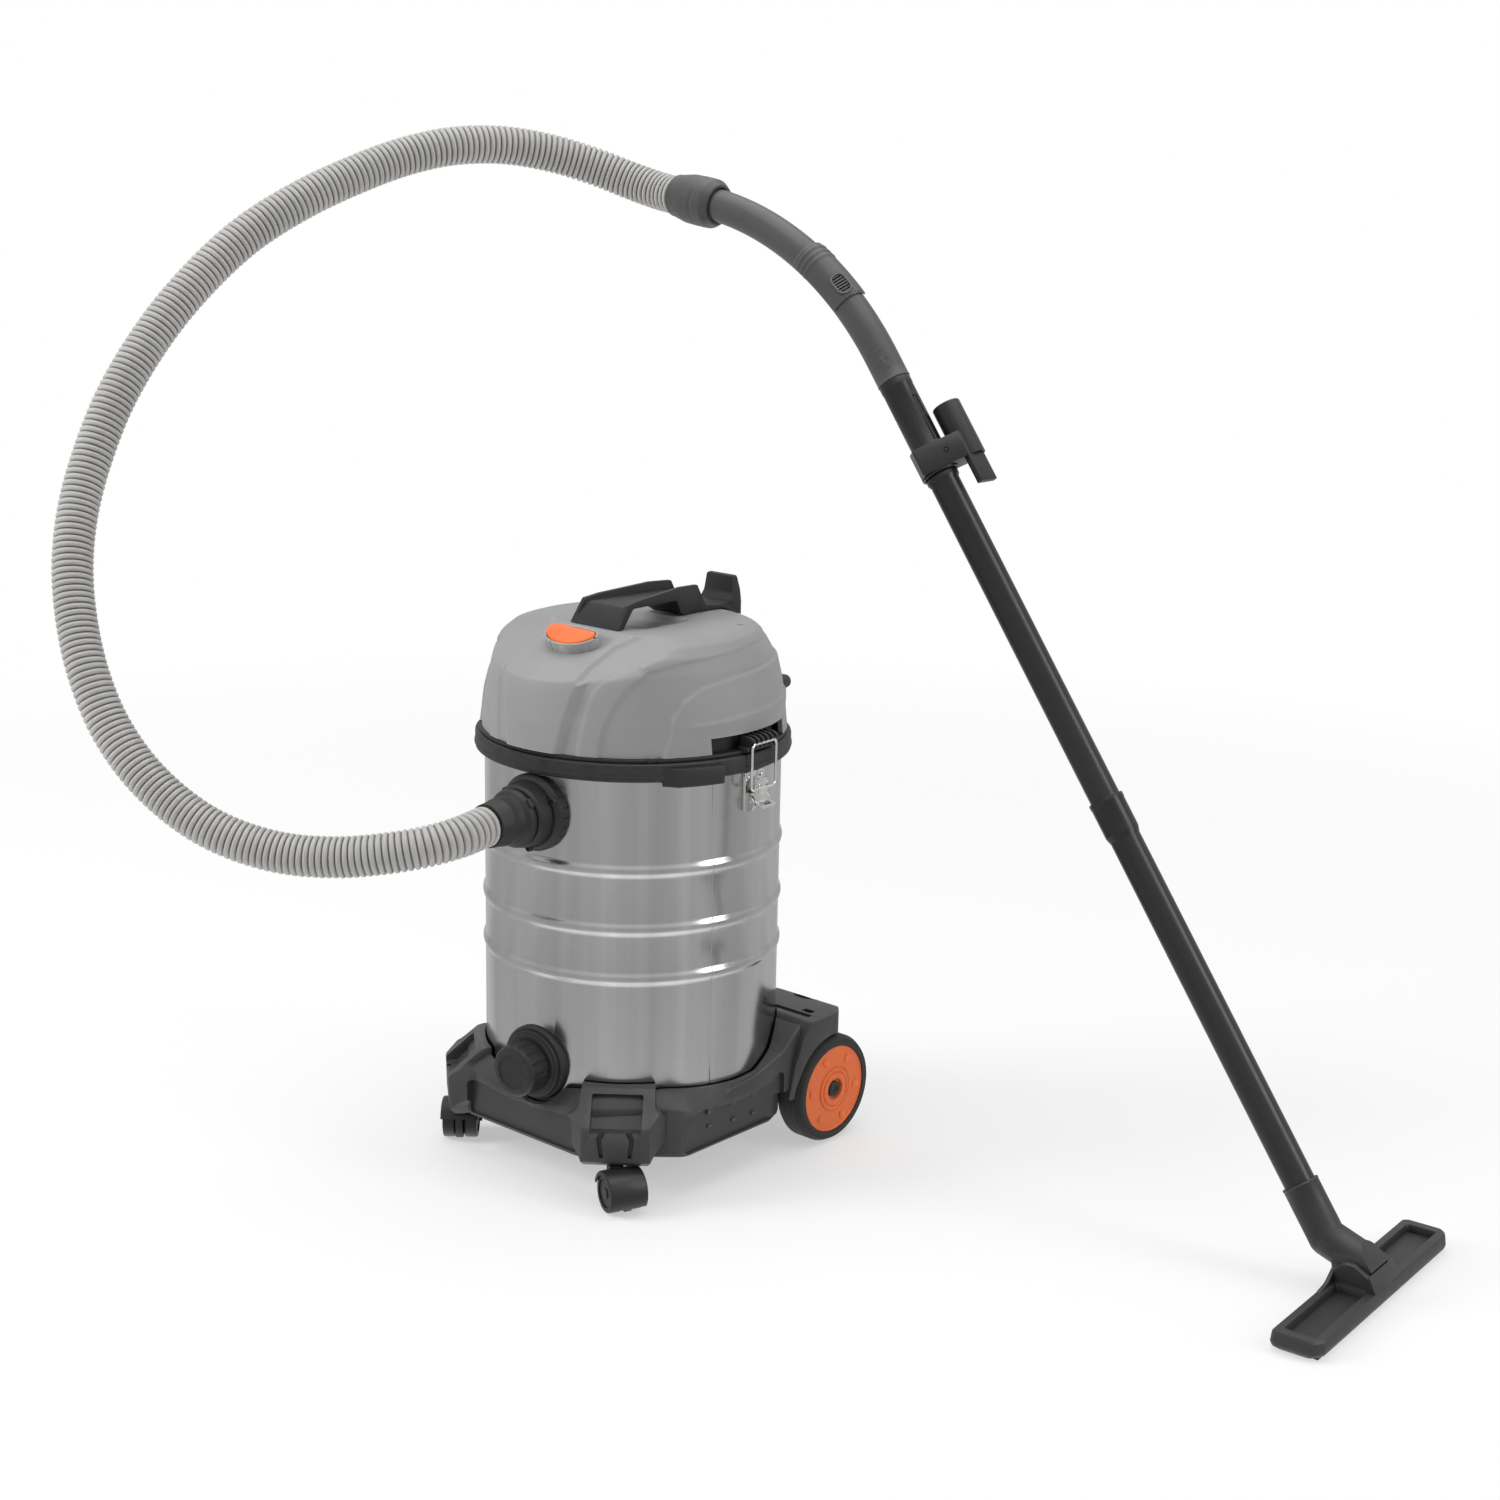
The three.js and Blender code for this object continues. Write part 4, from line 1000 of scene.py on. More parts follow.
def make_cover_skin():
    rows = cover_outline()
    heading = np.gradient(rows, axis=0)
    heading /= np.linalg.norm(heading, axis=1)[:, None]
    out = np.stack([heading[:, 1], -heading[:, 0]], axis=1)
    azimuths = np.radians(np.arange(0, 360, 0.75))
    r, a = np.meshgrid(rows[:, 0], azimuths, indexing="ij")
    z = np.broadcast_to(rows[:, 1][:, None], r.shape)
    spots = np.stack([r * np.sin(a), -r * np.cos(a), z], axis=-1)
    off = np.degrees(a) - COVER_CENTRE
    off = np.abs((off + 180) % 360 - 180)
    level = np.arange(len(rows))[:, None]

    def row_of(height):
        return np.interp(height, rows[:, 1], np.arange(len(rows)))

    def line_of(pairs):
        """The azimuth of a line at every row of the grid."""
        at = [row_of(h) for h, _ in pairs]
        return np.interp(level, at, [v for _, v in pairs])

    def away(pairs):
        """Distance in millimetres from a line, positive beyond it."""
        dense = []
        for (h0, a0), (h1, a1) in zip(pairs, pairs[1:]):
            for k in range(8):
                share = k / 8
                dense.append((h0 + (h1 - h0) * share, a0 + (a1 - a0) * share))
        dense.append(pairs[-1])
        heights = np.array([h for h, _ in dense])
        turns = np.radians([v for _, v in dense])
        radii = np.interp(heights, rows[:, 1], rows[:, 0])
        line = np.stack([radii * np.sin(turns), -radii * np.cos(turns), heights], axis=1)
        folded = np.radians(off)
        here = np.stack([r * np.sin(folded), -r * np.cos(folded), z], axis=-1)
        best = np.full(r.shape, 1e9)
        for p, q in zip(line, line[1:]):
            along = q - p
            share = np.clip(((here - p) @ along) / along.dot(along), 0, 1)
            best = np.minimum(best, np.linalg.norm(here - p - share[..., None] * along, axis=-1))
        beyond = off > line_of(pairs)
        return np.where(beyond, best, -best)

    def step(distance, width):
        share = np.clip(distance / width + 0.5, 0, 1)
        return share * share * (3 - 2 * share)

    edge, foot = line_of(PANEL_EDGE), line_of(PANEL_FOOT)
    panel = np.clip((foot - off) / (foot - edge), 0, 1) * np.clip((529 - z) / 14, 0, 1)
    rise = 6.0 * panel
    fades = [np.clip((530 - z) / 18, 0, 1), 1.0, 1.0]
    widths = [5, 4, 3.4]
    for (height, pairs), fade, width in zip(SWEEPS, fades, widths):
        rise = rise + height * step(away(pairs), width) * fade
    ridge = away(RIDGE)
    ledge = np.where(ridge > 0, np.clip(1 - ridge / 14, 0, 1), np.clip(1 + ridge / 3, 0, 1))
    rise = rise + 2.2 * ledge * np.clip((off - 58) / 10, 0, 1)
    rise = rise * np.clip((r - 20) / 40, 0, 1)
    spots[..., 0] += rise * out[:, 0][:, None] * np.sin(a)
    spots[..., 1] -= rise * out[:, 0][:, None] * np.cos(a)
    spots[..., 2] += rise * out[:, 1][:, None]
    flare = np.interp(spots[..., 1], [-140, -120, -85, -66, -52], [52, 48, 48, 58, 70])
    across_panel = np.clip((flare + 6 - np.abs(spots[..., 0] - 1)) / 6, 0, 1)
    slope = slope_height(spots[..., 1], -5.5 + 5.5 * across_panel)
    slope = np.where(spots[..., 1] < -40, slope, 1e3)
    blend = np.where(spots[..., 1] < -100, 12.0, 2.5)
    share = np.clip(0.5 + 0.5 * (slope - spots[..., 2]) / blend, 0, 1)
    spots[..., 2] = (slope * (1 - share) + spots[..., 2] * share
                     - np.where(slope < 1e3, blend * share * (1 - share), 0))
    loops = [[tuple(p) for p in row] for row in spots]
    return lofted("cover_shell", loops)


def dish_shape(name, grow, low_z, high_z):
    """The finger recess: a rounded rectangle that narrows towards its floor."""
    loops = []
    for share, rise in ((0, 0), (0.06, 0.04), (0.16, 0.16), (0.34, 0.38), (0.6, 0.66), (1, 1)):
        spread = 12 * share ** 0.6 + grow
        z = low_z + (high_z - low_z) * rise
        corners = [(36 + spread, -26 - spread, 12), (36 + spread, 30 + spread, 12),
                   (-36 - spread, 30 + spread, 12), (-36 - spread, -26 - spread, 12)]
        loops.append([(x, y, z) for x, y in rounded(corners, 6)])
    return lofted(name, loops)


def bean(half_length, half_width, bend=4.5, count=64):
    """A kidney shape about the origin, hollow on the side that faces the handle."""
    outline = []
    for i in range(count):
        angle = 2 * math.pi * i / count
        c, s = math.cos(angle), math.sin(angle)
        x = half_length * math.copysign(abs(c) ** 0.85, c)
        y = half_width * math.copysign(abs(s) ** 0.8, s)
        outline.append((x, y - 1.5 + bend * (x / half_length) ** 2))
    return outline


def make_cover():
    cover = make_cover_skin()
    inside = [(0, 539), (117, 538), (129, 534.4), (139.6, 525.5), (147, 509), (153, 484.5),
              (157, 459.5), (160, 425), (0, 425)]
    core = turned("cover_room", inside, sides=120)
    under = across("cover_slope", [(-262, slope_height(-262, -7)), (-46, slope_height(-46, -7)),
                                   (200, 541), (200, 300), (-262, 300)], -200, 200)
    keep(core, under)
    cut(core, dish_shape("dish_floor", 3, 531, 545))
    dish = dish_shape("dish", 0, 534, 542.6)
    tools = [core, dish]
    for side in (-1, 1):
        tools.append(on_side(block("gate", -62, 62, -182, -130, 420, 446), side))
    for i in range(-3, 4):
        tools.append(block("vent", i * 12 - 3, i * 12 + 3, 130, 180, 470, 500))
    gland = turned("gland_hole", [(0, 140), (7.6, 140), (7.6, 180), (0, 180)], sides=32)
    gland.data.transform(Matrix.Rotation(-math.pi / 2, 4, "X"))
    tools.append(move(gland, 70, 0, 460))
    tools.append(on_slope(block("switch_hole", -17, 17, -8, 8, -20, 20)))
    for x, y in ((-98, 62), (98, 62), (-66, 118), (66, 118)):
        dip = turned("screw_dip", [(0, 540.2), (5, 540.2), (6, 545), (0, 545)], sides=24)
        tools.append(move(dip, x, y, 0))
    cut(cover, *tools)
    finish_piece(cover, "head", "head_grey", "head_cover", angle=40)


def make_switch():
    bezel = prism("switch_frame", bean(35, 17.5), -4, 11)
    cut(bezel, prism("switch_room", bean(32.4, 15.0), -5, 12))
    cut(bezel, block("frame_slit", -13.4, -12.2, -30, -8, -1, 12))
    for side in (-1, 1):
        cut(bezel, block("end_slot", min(side * 30, side * 35), max(side * 30, side * 35),
                         0.5, 4.5, 9, 12))
    soften(bezel, 0.8, 2, 50)
    finish_piece(on_slope(bezel), "head", "head_grey", "switch_bezel")

    loops = []
    shape = bean(31.4, 14.2, 4.4)
    for share, z in ((0.97, 3), (1.0, 4), (1.0, 10.8), (0.985, 11.8), (0.94, 12.5),
                     (0.85, 12.8), (0.6, 12.6), (0.3, 12.4)):
        loop = []
        for x, y in shape:
            lift = 0.0 if z < 5 else 2.6 * (x / 30) ** 2 - 1.2 * x / 30 - 1.0
            loop.append((x * share, y * share, z + lift))
        loops.append(loop)
    rocker = lofted("rocker_top", loops)
    join(rocker, block("rocker_stem", -8, 8, -5, 5, -9, 4))
    finish_piece(on_slope(rocker), "rocker", "orange", "switch_rocker", angle=50)


def make_handle():
    base = 542.3
    side = [(-61, base), (-45, 566.5, 4), (-24, 569.5, 10), (6, 571.3), (45, 574, 14),
            (75, 572.8, 3),
            (82, 560.5, 8), (90, 548, 5), (113, 546, 20), (141, 551, 3), (147, 548, 2),
            (147, 531.5),
            (134, 534.5), (118, base), (53, base, 2), (46, 546.5, 2), (38.5, 560.5, 5),
            (-36, 561.8, 5), (-52.5, base)]
    strap = across("handle_strap", side, -45, 45, 5)
    plan = [(-35.5, -63), (35.5, -63), (21.5, 75, 60), (21.5, 160), (-21.5, 160), (-21.5, 75, 60)]
    keep(strap, prism("handle_plan", plan, 500, 600, 6))
    channel = across("handle_channel", [(-67, 539.3), (-42, 563.5, 8), (60, 563.4, 8),
                                        (73, 561.5, 6),
                                        (88, 548.8, 8), (113, 547.2, 10), (132, 549, 6), (132, 600),
                                        (-67, 600)], -40, 40, 5)
    room = [(-31.5, -70), (31.5, -70), (17.5, 75, 60), (16.5, 126, 4), (-16.5, 126, 4),
            (-17.5, 75, 60)]
    keep(channel, prism("channel_plan", room, 500, 640, 6))
    cut(strap, channel)
    soften(strap, 1.3, 3)
    tab = across("handle_hook", [(127, 547), (147, 533), (145.5, 560), (141.5, 575.5, 2),
                                 (135, 575.2, 2), (133, 556, 8)], -22, 22, 4)
    sides = drawn_along_y("hook_outline", [(-21.5, 530), (21.5, 530), (22, 550, 10), (19, 576, 4),
                                           (-19, 576, 4), (-22, 550, 10)], 100, 180, 4)
    keep(tab, sides)
    soften(tab, 1.0, 2)
    peg = turned("handle_peg", [(0, 535), (2.6, 535, 0.8), (3.4, 546), (0, 546)], sides=24)
    join(strap, tab)
    group(strap, move(peg, 19, 50, 7.4))
    finish_piece(strap, "head", "black_plastic", "carry_handle")


# ---------- wheeled base ----------
LOBE_TURN = 39.5


def star_radii(outline, angles):
    """The outline's distance from the origin in each direction."""
    spots = np.array([p[:2] for p in outline], float)
    dense = []
    for p, q in zip(spots, np.roll(spots, -1, axis=0)):
        for k in range(12):
            dense.append(p + (q - p) * k / 12)
    dense = np.array(dense)
    at = np.arctan2(dense[:, 1], dense[:, 0])
    order = np.argsort(at)
    return np.interp(angles, at[order], np.hypot(dense[:, 0], dense[:, 1])[order],
                     period=2 * math.pi)


def base_skirt():
    half = [(0, -168), (84, -168, 14), (168, -90, 14), (168, 44, 12), (158, 70, 10), (137, 84, 3),
            (137, 188, 12), (118, 201, 10), (70, 200, 14), (44, 174, 10)]
    left = [(-c[0], *c[1:]) for c in reversed(half[1:])]
    outline = rounded(half + [(0, 174)] + left, 5)
    angles = np.radians(np.arange(-180, 180, 1.0))
    full = star_radii(outline, angles)
    azimuth = np.abs((np.degrees(angles) + 90 + 180) % 360 - 180)
    wall_top = np.interp(azimuth, [0, 12, 20, 30, 56, 68, 90, 105, 116, 125, 180],
                         [46, 48, 54, 57, 57, 53, 50, 52, 64, 70, 62])
    lip_top = wall_top + np.interp(azimuth, [0, 12, 20, 60, 100, 120, 180],
                                   [10, 12, 14, 14, 15, 8, 6])
    lip = np.minimum(full - 2, 164.0)
    loops = []
    for radii, heights in ((full - 7, 0), (full - 1, 3), (full, 7), (full, wall_top - 2),
                           (full - 1.2, wall_top), (lip + 2.2, lip_top - 0.8), (lip, lip_top)):
        heights = np.broadcast_to(heights, len(angles))
        loops.append([(r * math.cos(w), r * math.sin(w), z)
                      for r, w, z in zip(radii, angles, heights)])
    return lofted("base_skirt", loops)


def base_lobe():
    side = [(-120, 0), (-196, 0, 3), (-203, 6, 4), (-204, 44, 5), (-168, 75, 3), (-161, 77),
            (-120, 77)]
    lobe = across("base_lobe", side, -58, 58)
    plan = [(-56, -118), (-54, -172), (-50, -182, 6), (-34, -206, 8), (34, -206, 8), (50, -182, 6),
            (54, -172), (56, -118)]
    keep(lobe, prism("lobe_plan", plan, -10, 100))
    front = drawn_along_y("lobe_front", [(-32, -2), (-40, 12, 6), (-56, 30, 8), (-56, 44, 6),
                                         (-40, 60, 8), (-37, 90), (37, 90), (40, 60, 8),
                                         (56, 44, 6),
                                         (56, 30, 8), (40, 12, 6), (32, -2)], -230, -100, 5)
    keep(lobe, front)
    soften(lobe, 1.6, 2)
    well_side = [(-191, 38, 4), (-171, 58, 5), (-167, 65, 3), (-171, 70, 2), (-230, 78), (-230, 38)]
    well = soften(across("lobe_well", well_side, -27, 27), 4, 3, 40)
    arch = prism("clip_arch", [(-17, 11, 1), (-20, 33, 4), (-13, 47, 6), (13, 47, 6), (20, 33, 4),
                               (17, 11, 1)], -2, 12)
    hole = prism("clip_gap", [(-12.4, 9), (-14.6, 31, 4), (-9, 41, 5), (9, 41, 5), (14.6, 31, 4),
                              (12.4, 9)], -5, 20)
    cut(arch, hole)
    arch.data.transform(Matrix.Rotation(math.pi / 2, 4, "X"))
    move(arch, 0, -200.8, 0)
    cut(lobe, well, arch)
    return lobe


def base_shoulder(side):
    outline = [(72, 20), (79, 60, 20), (88, 86, 22), (104, 103.5, 8), (160, 104, 12), (177, 97, 10),
               (189, 78, 8), (196, 20)]
    near, far = sorted((side * 70, side * 178))
    made = across("base_shoulder", outline, near, far, 6)
    plan = [(70, 60), (166, 60, 6), (176, 84, 12), (176, 149, 10), (150, 178, 14), (124, 202, 10),
            (70, 204)]
    keep(made, prism("shoulder_plan", [(side * x, y, *f) for x, y, *f in plan], 0, 130))
    wing_line = [(-40, 30), (-30, 58, 20), (20, 64, 40), (62, 78, 30), (92, 102), (92, 30)]
    wing = across("base_wing", wing_line, *sorted((side * 120, side * 172)), 8)
    wing_plan = [(120, -42), (166, -42), (169, 40, 20), (169, 92), (120, 92)]
    keep(wing, prism("wing_plan", [(side * x, y, *f) for x, y, *f in wing_plan], 0, 130))
    return join(soften(made, 2.6, 3), soften(wing, 2.0, 3))


def make_base():
    base = base_skirt()
    join(base, turn(base_lobe(), LOBE_TURN), turn(base_lobe(), -LOBE_TURN))
    join(base, base_shoulder(1), base_shoulder(-1))
    tools = [turned("tank_space", [(0, TANK_FOOT - 0.4), (161.7, TANK_FOOT - 0.4), (161.7, 200),
                                   (0, 200)], sides=144)]
    for side in (-1, 1):
        near, far = sorted((side * 138, side * 210))
        tools.append(x_bar("wheel_arch", WHEEL_R + 4, near, far, AXLE_Y, AXLE_Z, 96))
        stem = turned("stem_hole", [(0, -5), (5.4, -5), (5.4, 34), (0, 34)], sides=24)
        tools.append(move(stem, side * CASTER_X, CASTER_Y, 0))
        oval = turned("tool_hole", [(0, 60), (13, 60), (13, 102), (15.5, 106), (0, 106)], sides=48)
        oval.data.transform(Matrix.Diagonal((1.25, 0.8, 1, 1)))
        tools.append(move(oval, side * 114, 166, 0))
        near, far = sorted((side * 142, side * 156))
        tools.append(block("park_slot", near, far, 124, 132, 60, 120))
        seat = soften(block("seat_step", min(side * 92, side * 162), max(side * 92, side * 162),
                            112, 120, 100.6, 110), 1)
        tools.append(seat)
        panel = [(-90, 5, 4), (-90, 46, 6), (-60, 48, 10), (-20, 43, 10), (13, 43, 10),
                 (46, 50, 10),
                 (66, 60, 8), (66, 5, 4)]
        near, far = sorted((side * 164.4, side * 180))
        tools.append(across("side_panel", panel, near, far))
    front = [(-82, 6, 4), (-82, 46, 6), (-24, 40, 10), (18, 40, 10), (80, 46, 6), (80, 6, 4)]
    front_panel = across("front_panel", front, -180, -164.6)
    front_panel.data.transform(Matrix.Rotation(math.pi / 2, 4, "Z"))
    tools.append(front_panel)
    tools.append(x_bar("axle_way", 6.4, -200, 200, AXLE_Y, AXLE_Z, 32))
    notch = turned("drain_notch", [(0, 120), (43.5, 120), (43.5, 230), (0, 230)], sides=64)
    tools.append(forward(notch, DRAIN_Z))
    cut(base, *tools)
    for side in (-1, 1):
        for y in (-52, -16, 18):
            near, far = sorted((side * 163, side * 167.6))
            tab = soften(block("panel_tab", near, far, y - 4.5, y + 4.5, 40.5, 48), 0.8)
            join(base, tab)
        for y, z in ((-51, 26), (-13, 22), (19, 20)):
            stud = soften(block("panel_stud", min(side * 163, side * 166.4),
                                max(side * 163, side * 166.4), y - 3.4, y + 3.4, z - 1.8, z + 1.8),
                                0.8)
            join(base, stud)
    finish_piece(base, "machine", "base_plastic", "base_frame", angle=36)


def x_bar(name, radius, x0, x1, y, z, sides=32):
    outline = [(y + radius * math.cos(2 * math.pi * k / sides),
                z + radius * math.sin(2 * math.pi * k / sides)) for k in range(sides)]
    return across(name, outline, x0, x1)


# ---------- wheels and casters ----------
def wheel_part(made, side):
    made.data.transform(Matrix.Rotation(side * math.pi / 2, 4, "Y"))
    return move(made, 0, AXLE_Y, AXLE_Z)


def make_wheel(side, tag):
    body = f"wheel_{tag}"
    tyre = turned("tyre", [(50, 142), (56, 142, 2), (WHEEL_R, 149, 6), (WHEEL_R, 171, 6),
                           (57, 178, 3), (50, 178)], sides=128, steps=6)
    for z in (155, 165):
        groove = turned("tyre_groove", [(WHEEL_R - 0.9, z), (WHEEL_R + 4, z - 1.4),
                                        (WHEEL_R + 4, z + 1.4)], sides=128)
        cut(tyre, groove)
    finish_piece(wheel_part(tyre, side), body, "rubber_tyre", f"rear_tyre_{tag}")

    disc = turned("disc", [(6.5, 141), (14, 141), (14, 166), (49.7, 166), (49.7, 176.4, 0.8),
                           (47.6, 177.6, 0.6), (46.8, 176.2, 0.6), (26, 177.2, 0.5),
                           (25.6, 176.2, 0.3),
                           (24.2, 176.2, 0.3), (23.8, 178, 0.5), (20.6, 178.4, 0.5),
                           (20.2, 177.2, 0.3),
                           (19, 177.2, 0.3), (18.6, 178.6, 0.5), (12.4, 179, 0.6), (12, 175),
                           (6.5, 175)],
                  sides=128)
    marks = []
    for k in range(6):
        mark = prism("disc_mark", [(32.5, -3.4, 2), (41.5, -4.8, 2.4), (41.5, 4.8, 2.4),
                                   (32.5, 3.4, 2)],
                     174, 178.1)
        marks.append(turn(soften(mark, 1.0, 2, 50), 60 * k + 24))
    join(disc, *marks)
    finish_piece(wheel_part(disc, side), body, "orange", f"wheel_disc_{tag}")

    cap = turned("cap", [(0, 175.4), (9, 175.4), (9, 178, 0.6), (7.4, 179, 0.4), (4.2, 179),
                         (3.4, 177.8), (0, 177.8)], sides=48)
    finish_piece(wheel_part(cap, side), body, "black_plastic", f"hub_cap_{tag}")


def y_bar(name, radius, y0, y1, x, z, sides=48):
    made = turned(name, [(0, y0), (radius, y0), (radius, y1), (0, y1)], sides=sides)
    made.data.transform(Matrix(((0, 1, 0, 0), (0, 0, 1, 0), (1, 0, 0, 0), (0, 0, 0, 1))))
    return move(made, x, 0, z)


def make_caster(side, tag):
    centre = FLOOR + CASTER_R
    trail = CASTER_TRAIL
    stem = turned("caster_stem", [(0, -4), (8, -4), (8, -0.6, 0.6), (5, -0.6), (5, 30, 1), (0, 30)],
                  sides=32)
    web = soften(y_bar("caster_web", CASTER_R + 3, -4, 4, trail, centre), 0.8)
    cut(web, block("web_cut", -60, 60, -30, 30, -80, FLOOR + 5))
    hood = soften(y_bar("caster_hood", CASTER_R + 3.2, -21, 21, trail, centre), 2.4, 3)
    low_cut = block("hood_low", -60, 60, -30, 30, -60, 0)
    low_cut.data.transform(Matrix.Rotation(math.radians(24), 4, "Y"))
    cut(hood, y_bar("hood_room", CASTER_R + 1.2, -19.6, 19.6, trail, centre),
        move(low_cut, trail, 0, centre - 3))
    cut(hood, y_bar("hood_side", CASTER_R - 1.5, -30, 30, trail, centre))
    neck = soften(block("caster_neck", -10, 20, -7, 7, centre + 14, -3), 1.5)
    fork = join(web, hood, neck, stem)
    cut(fork, y_bar("pin_room", 3.2, -30, 30, trail, centre, 24))
    turn(fork, CASTER_SWIVEL[tag])
    finish_piece(move(fork, side * CASTER_X, CASTER_Y, 0), f"caster_{tag}", "caster_plastic",
                 f"caster_fork_{tag}")

    wheels = []
    for y0, y1 in ((-19, -5), (5, 19)):
        outer = -1 if y0 < 0 else 1
        disc = soften(y_bar("caster_wheel", CASTER_R, y0, y1, trail, centre, 64), 2.2, 3)
        dish = y_bar("wheel_dish", 15.5, *sorted((outer * 17.6, outer * 24)), trail, centre, 48)
        cut(disc, dish)
        hub = soften(y_bar("wheel_hub", 6, *sorted((outer * 12, outer * 18.8)), trail, centre, 32),
                     0.8)
        wheels.append(join(disc, hub))
    pin = y_bar("caster_pin", 2.8, -8, 8, trail, centre, 24)
    rollers = turn(join(*wheels, pin), CASTER_SWIVEL[tag])
    finish_piece(move(rollers, side * CASTER_X, CASTER_Y, 0), f"rollers_{tag}", "caster_plastic",
                 f"caster_wheels_{tag}")


# ---------- grip ----------
BEND_START = 90 - math.degrees(WAND_SLOPE)
UP_WAND = Vector((-math.cos(WAND_SLOPE), 0, math.sin(WAND_SLOPE)))
OFF_WAND = Vector((math.sin(WAND_SLOPE), 0, math.cos(WAND_SLOPE)))
BEND_CENTRE = WAND_TOP + UP_WAND * GRIP_STRAIGHT - OFF_WAND * GRIP_BEND


def on_bend(degrees, radius=GRIP_BEND):
    angle = math.radians(degrees)
    return BEND_CENTRE + Vector((radius * math.cos(angle), 0, radius * math.sin(angle)))


def laid_on_bend(made, degrees):
    place = Matrix.Translation(on_bend(degrees) * MM) @ Matrix.Rotation(-math.radians(degrees), 4,
                                                                        "Y")
    made.data.transform(place)
    return made


def laid_on_wand(made, distance):
    spot = WAND_TOP - UP_WAND * distance
    slope = Matrix.Rotation(WAND_SLOPE - math.pi / 2, 4, "Y")
    made.data.transform(Matrix.Translation(spot * MM) @ slope)
    return made


def make_grip():
    degrees = np.arange(BEND_START, GRIP_END + 0.1, 1.0)
    spine = [tuple(WAND_TOP + UP_WAND * d) for d in (0, 0.6, 1.6, 2.2, 14)]
    spine += [tuple(on_bend(d)) for d in degrees]
    radii = [17.6, 18.4, 18.4, GRIP_R, GRIP_R] + [GRIP_R] * len(degrees)
    tube = swept("grip_pipe", spine, radii, [GRIP_R - 1.6] * len(spine), count=48)
    for up, half in ((13, 5), (23, 8), (34, 5)):
        rib = turned("grip_rib", [(17.2, up - 0.7), (GRIP_R + 0.1, up - 0.7), (18.8, up),
                                  (GRIP_R + 0.1, up + 0.7), (17.2, up + 0.7)], sides=96)
        side = prism("rib_half", [(0, -half), (30, -half), (30, half), (0, half)], 0, 60)
        keep(rib, side)
        join(tube, laid_on_wand(turn(rib, -62), 0))
    vent = prism("vent", [(10, -5, 4), (40, -5), (40, 5), (10, 5, 4)], -8, 8)
    cut(tube, laid_on_bend(turn(vent, -40), 49))
    finish_piece(tube, "machine", "grip_grey", "grip_tube")

    slide_at = np.arange(46.5, 58.01, 0.25)
    outer = [21.0 + (0.9 if 54.6 < d < 57.6 and (d - 54.6) % 1.0 < 0.5 else 0.0) for d in slide_at]
    outer[0] = outer[-1] = 19.8
    slider = swept("air_slider", [tuple(on_bend(d)) for d in slide_at], outer,
                   [18.5] * len(slide_at), count=64)
    half = prism("slider_half", [(4, -60), (60, -60), (60, 60), (4, 60)], -80, 80)
    keep(slider, laid_on_bend(turn(half, -40), 52.25))
    oval = prism("slider_vent", [(-11.5, -7, 6.8), (11.5, -7, 6.8), (11.5, 7, 6.8),
                                 (-11.5, 7, 6.8)],
                 10, 40, 6)
    oval.data.transform(Matrix(((0, 0, 1, 0), (0, 1, 0, 0), (-1, 0, 0, 0), (0, 0, 0, 1))))
    rim = prism("vent_rim", [(-13.5, -9, 8.8), (13.5, -9, 8.8), (13.5, 9, 8.8), (-13.5, 9, 8.8)],
                18.8, 22, 6)
    rim.data.transform(Matrix(((0, 0, 1, 0), (0, 1, 0, 0), (-1, 0, 0, 0), (0, 0, 0, 1))))
    join(slider, laid_on_bend(turn(rim, -40), 49))
    cut(slider, laid_on_bend(turn(oval, -40), 49))
    bars = []
    for k in range(-3, 4):
        bars.append(block("vent_bar", 18.2, 20.8, -8, 8, k * 3.4 - 0.8, k * 3.4 + 0.8))
    join(slider, laid_on_bend(turn(group(*bars), -40), 49))
    finish_piece(slider, "air_slider", "grip_grey", "suction_slider")

    cuff = turned("grip_swivel", [(19.2, -20), (22, -20, 0.8), (24, -17, 1), (27, -12, 3),
                                  (27.4, -2, 1),
                                  (26.6, 0, 0.4), (26.6, 2, 0.4), (27.4, 4, 1), (27, 20, 3),
                                  (24.4, 34, 3), (23.4, 36, 0.6), (23.4, 41.7, 0.8), (17, 41.7),
                                  (17, 3), (19.2, 3)])
    finish_piece(laid_on_bend(cuff, GRIP_END), "swivel_cuff", "grip_grey", "grip_cuff")


# ---------- wand ----------
def make_wand():
    low_end = -UPPER_LENGTH - 38
    upper = turned("wand_upper_tube", [(14.5, 28), (WAND_R, 28), (WAND_R, -0.3), (17.6, -0.3, 0.5),
                                       (17.6, -8, 0.5), (17.1, -9), (17.3, -114), (17.9, -115, 0.4),
                                       (17.9, -119, 0.4), (WAND_R, -122), (WAND_R, low_end),
                                       (14.5, low_end)], sides=64)
    slot = prism("wand_slot", [(15.2, -3.5), (22, -3.5), (22, 3.5), (15.2, 3.5)], -113, -25)
    cut(upper, turn(soften(slot, 1.5, 3), -8))
    finish_piece(laid_on_wand(upper, 0), "wand_top", "wand_black", "wand_upper")

    end = -WAND_LENGTH - 20 + UPPER_LENGTH
    lower = turned("wand_lower_tube", [(16.5, 0), (18.6, 0, 0.6), (18.6, -5, 0.6), (18.1, -6),
                                       (18.1, -38, 1), (WAND_R, -45, 2), (WAND_R, end),
                                       (14.5, end), (14.5, -42), (16.5, -42)], sides=64)
    finish_piece(laid_on_wand(lower, UPPER_LENGTH), "wand_bottom", "wand_black", "wand_lower")


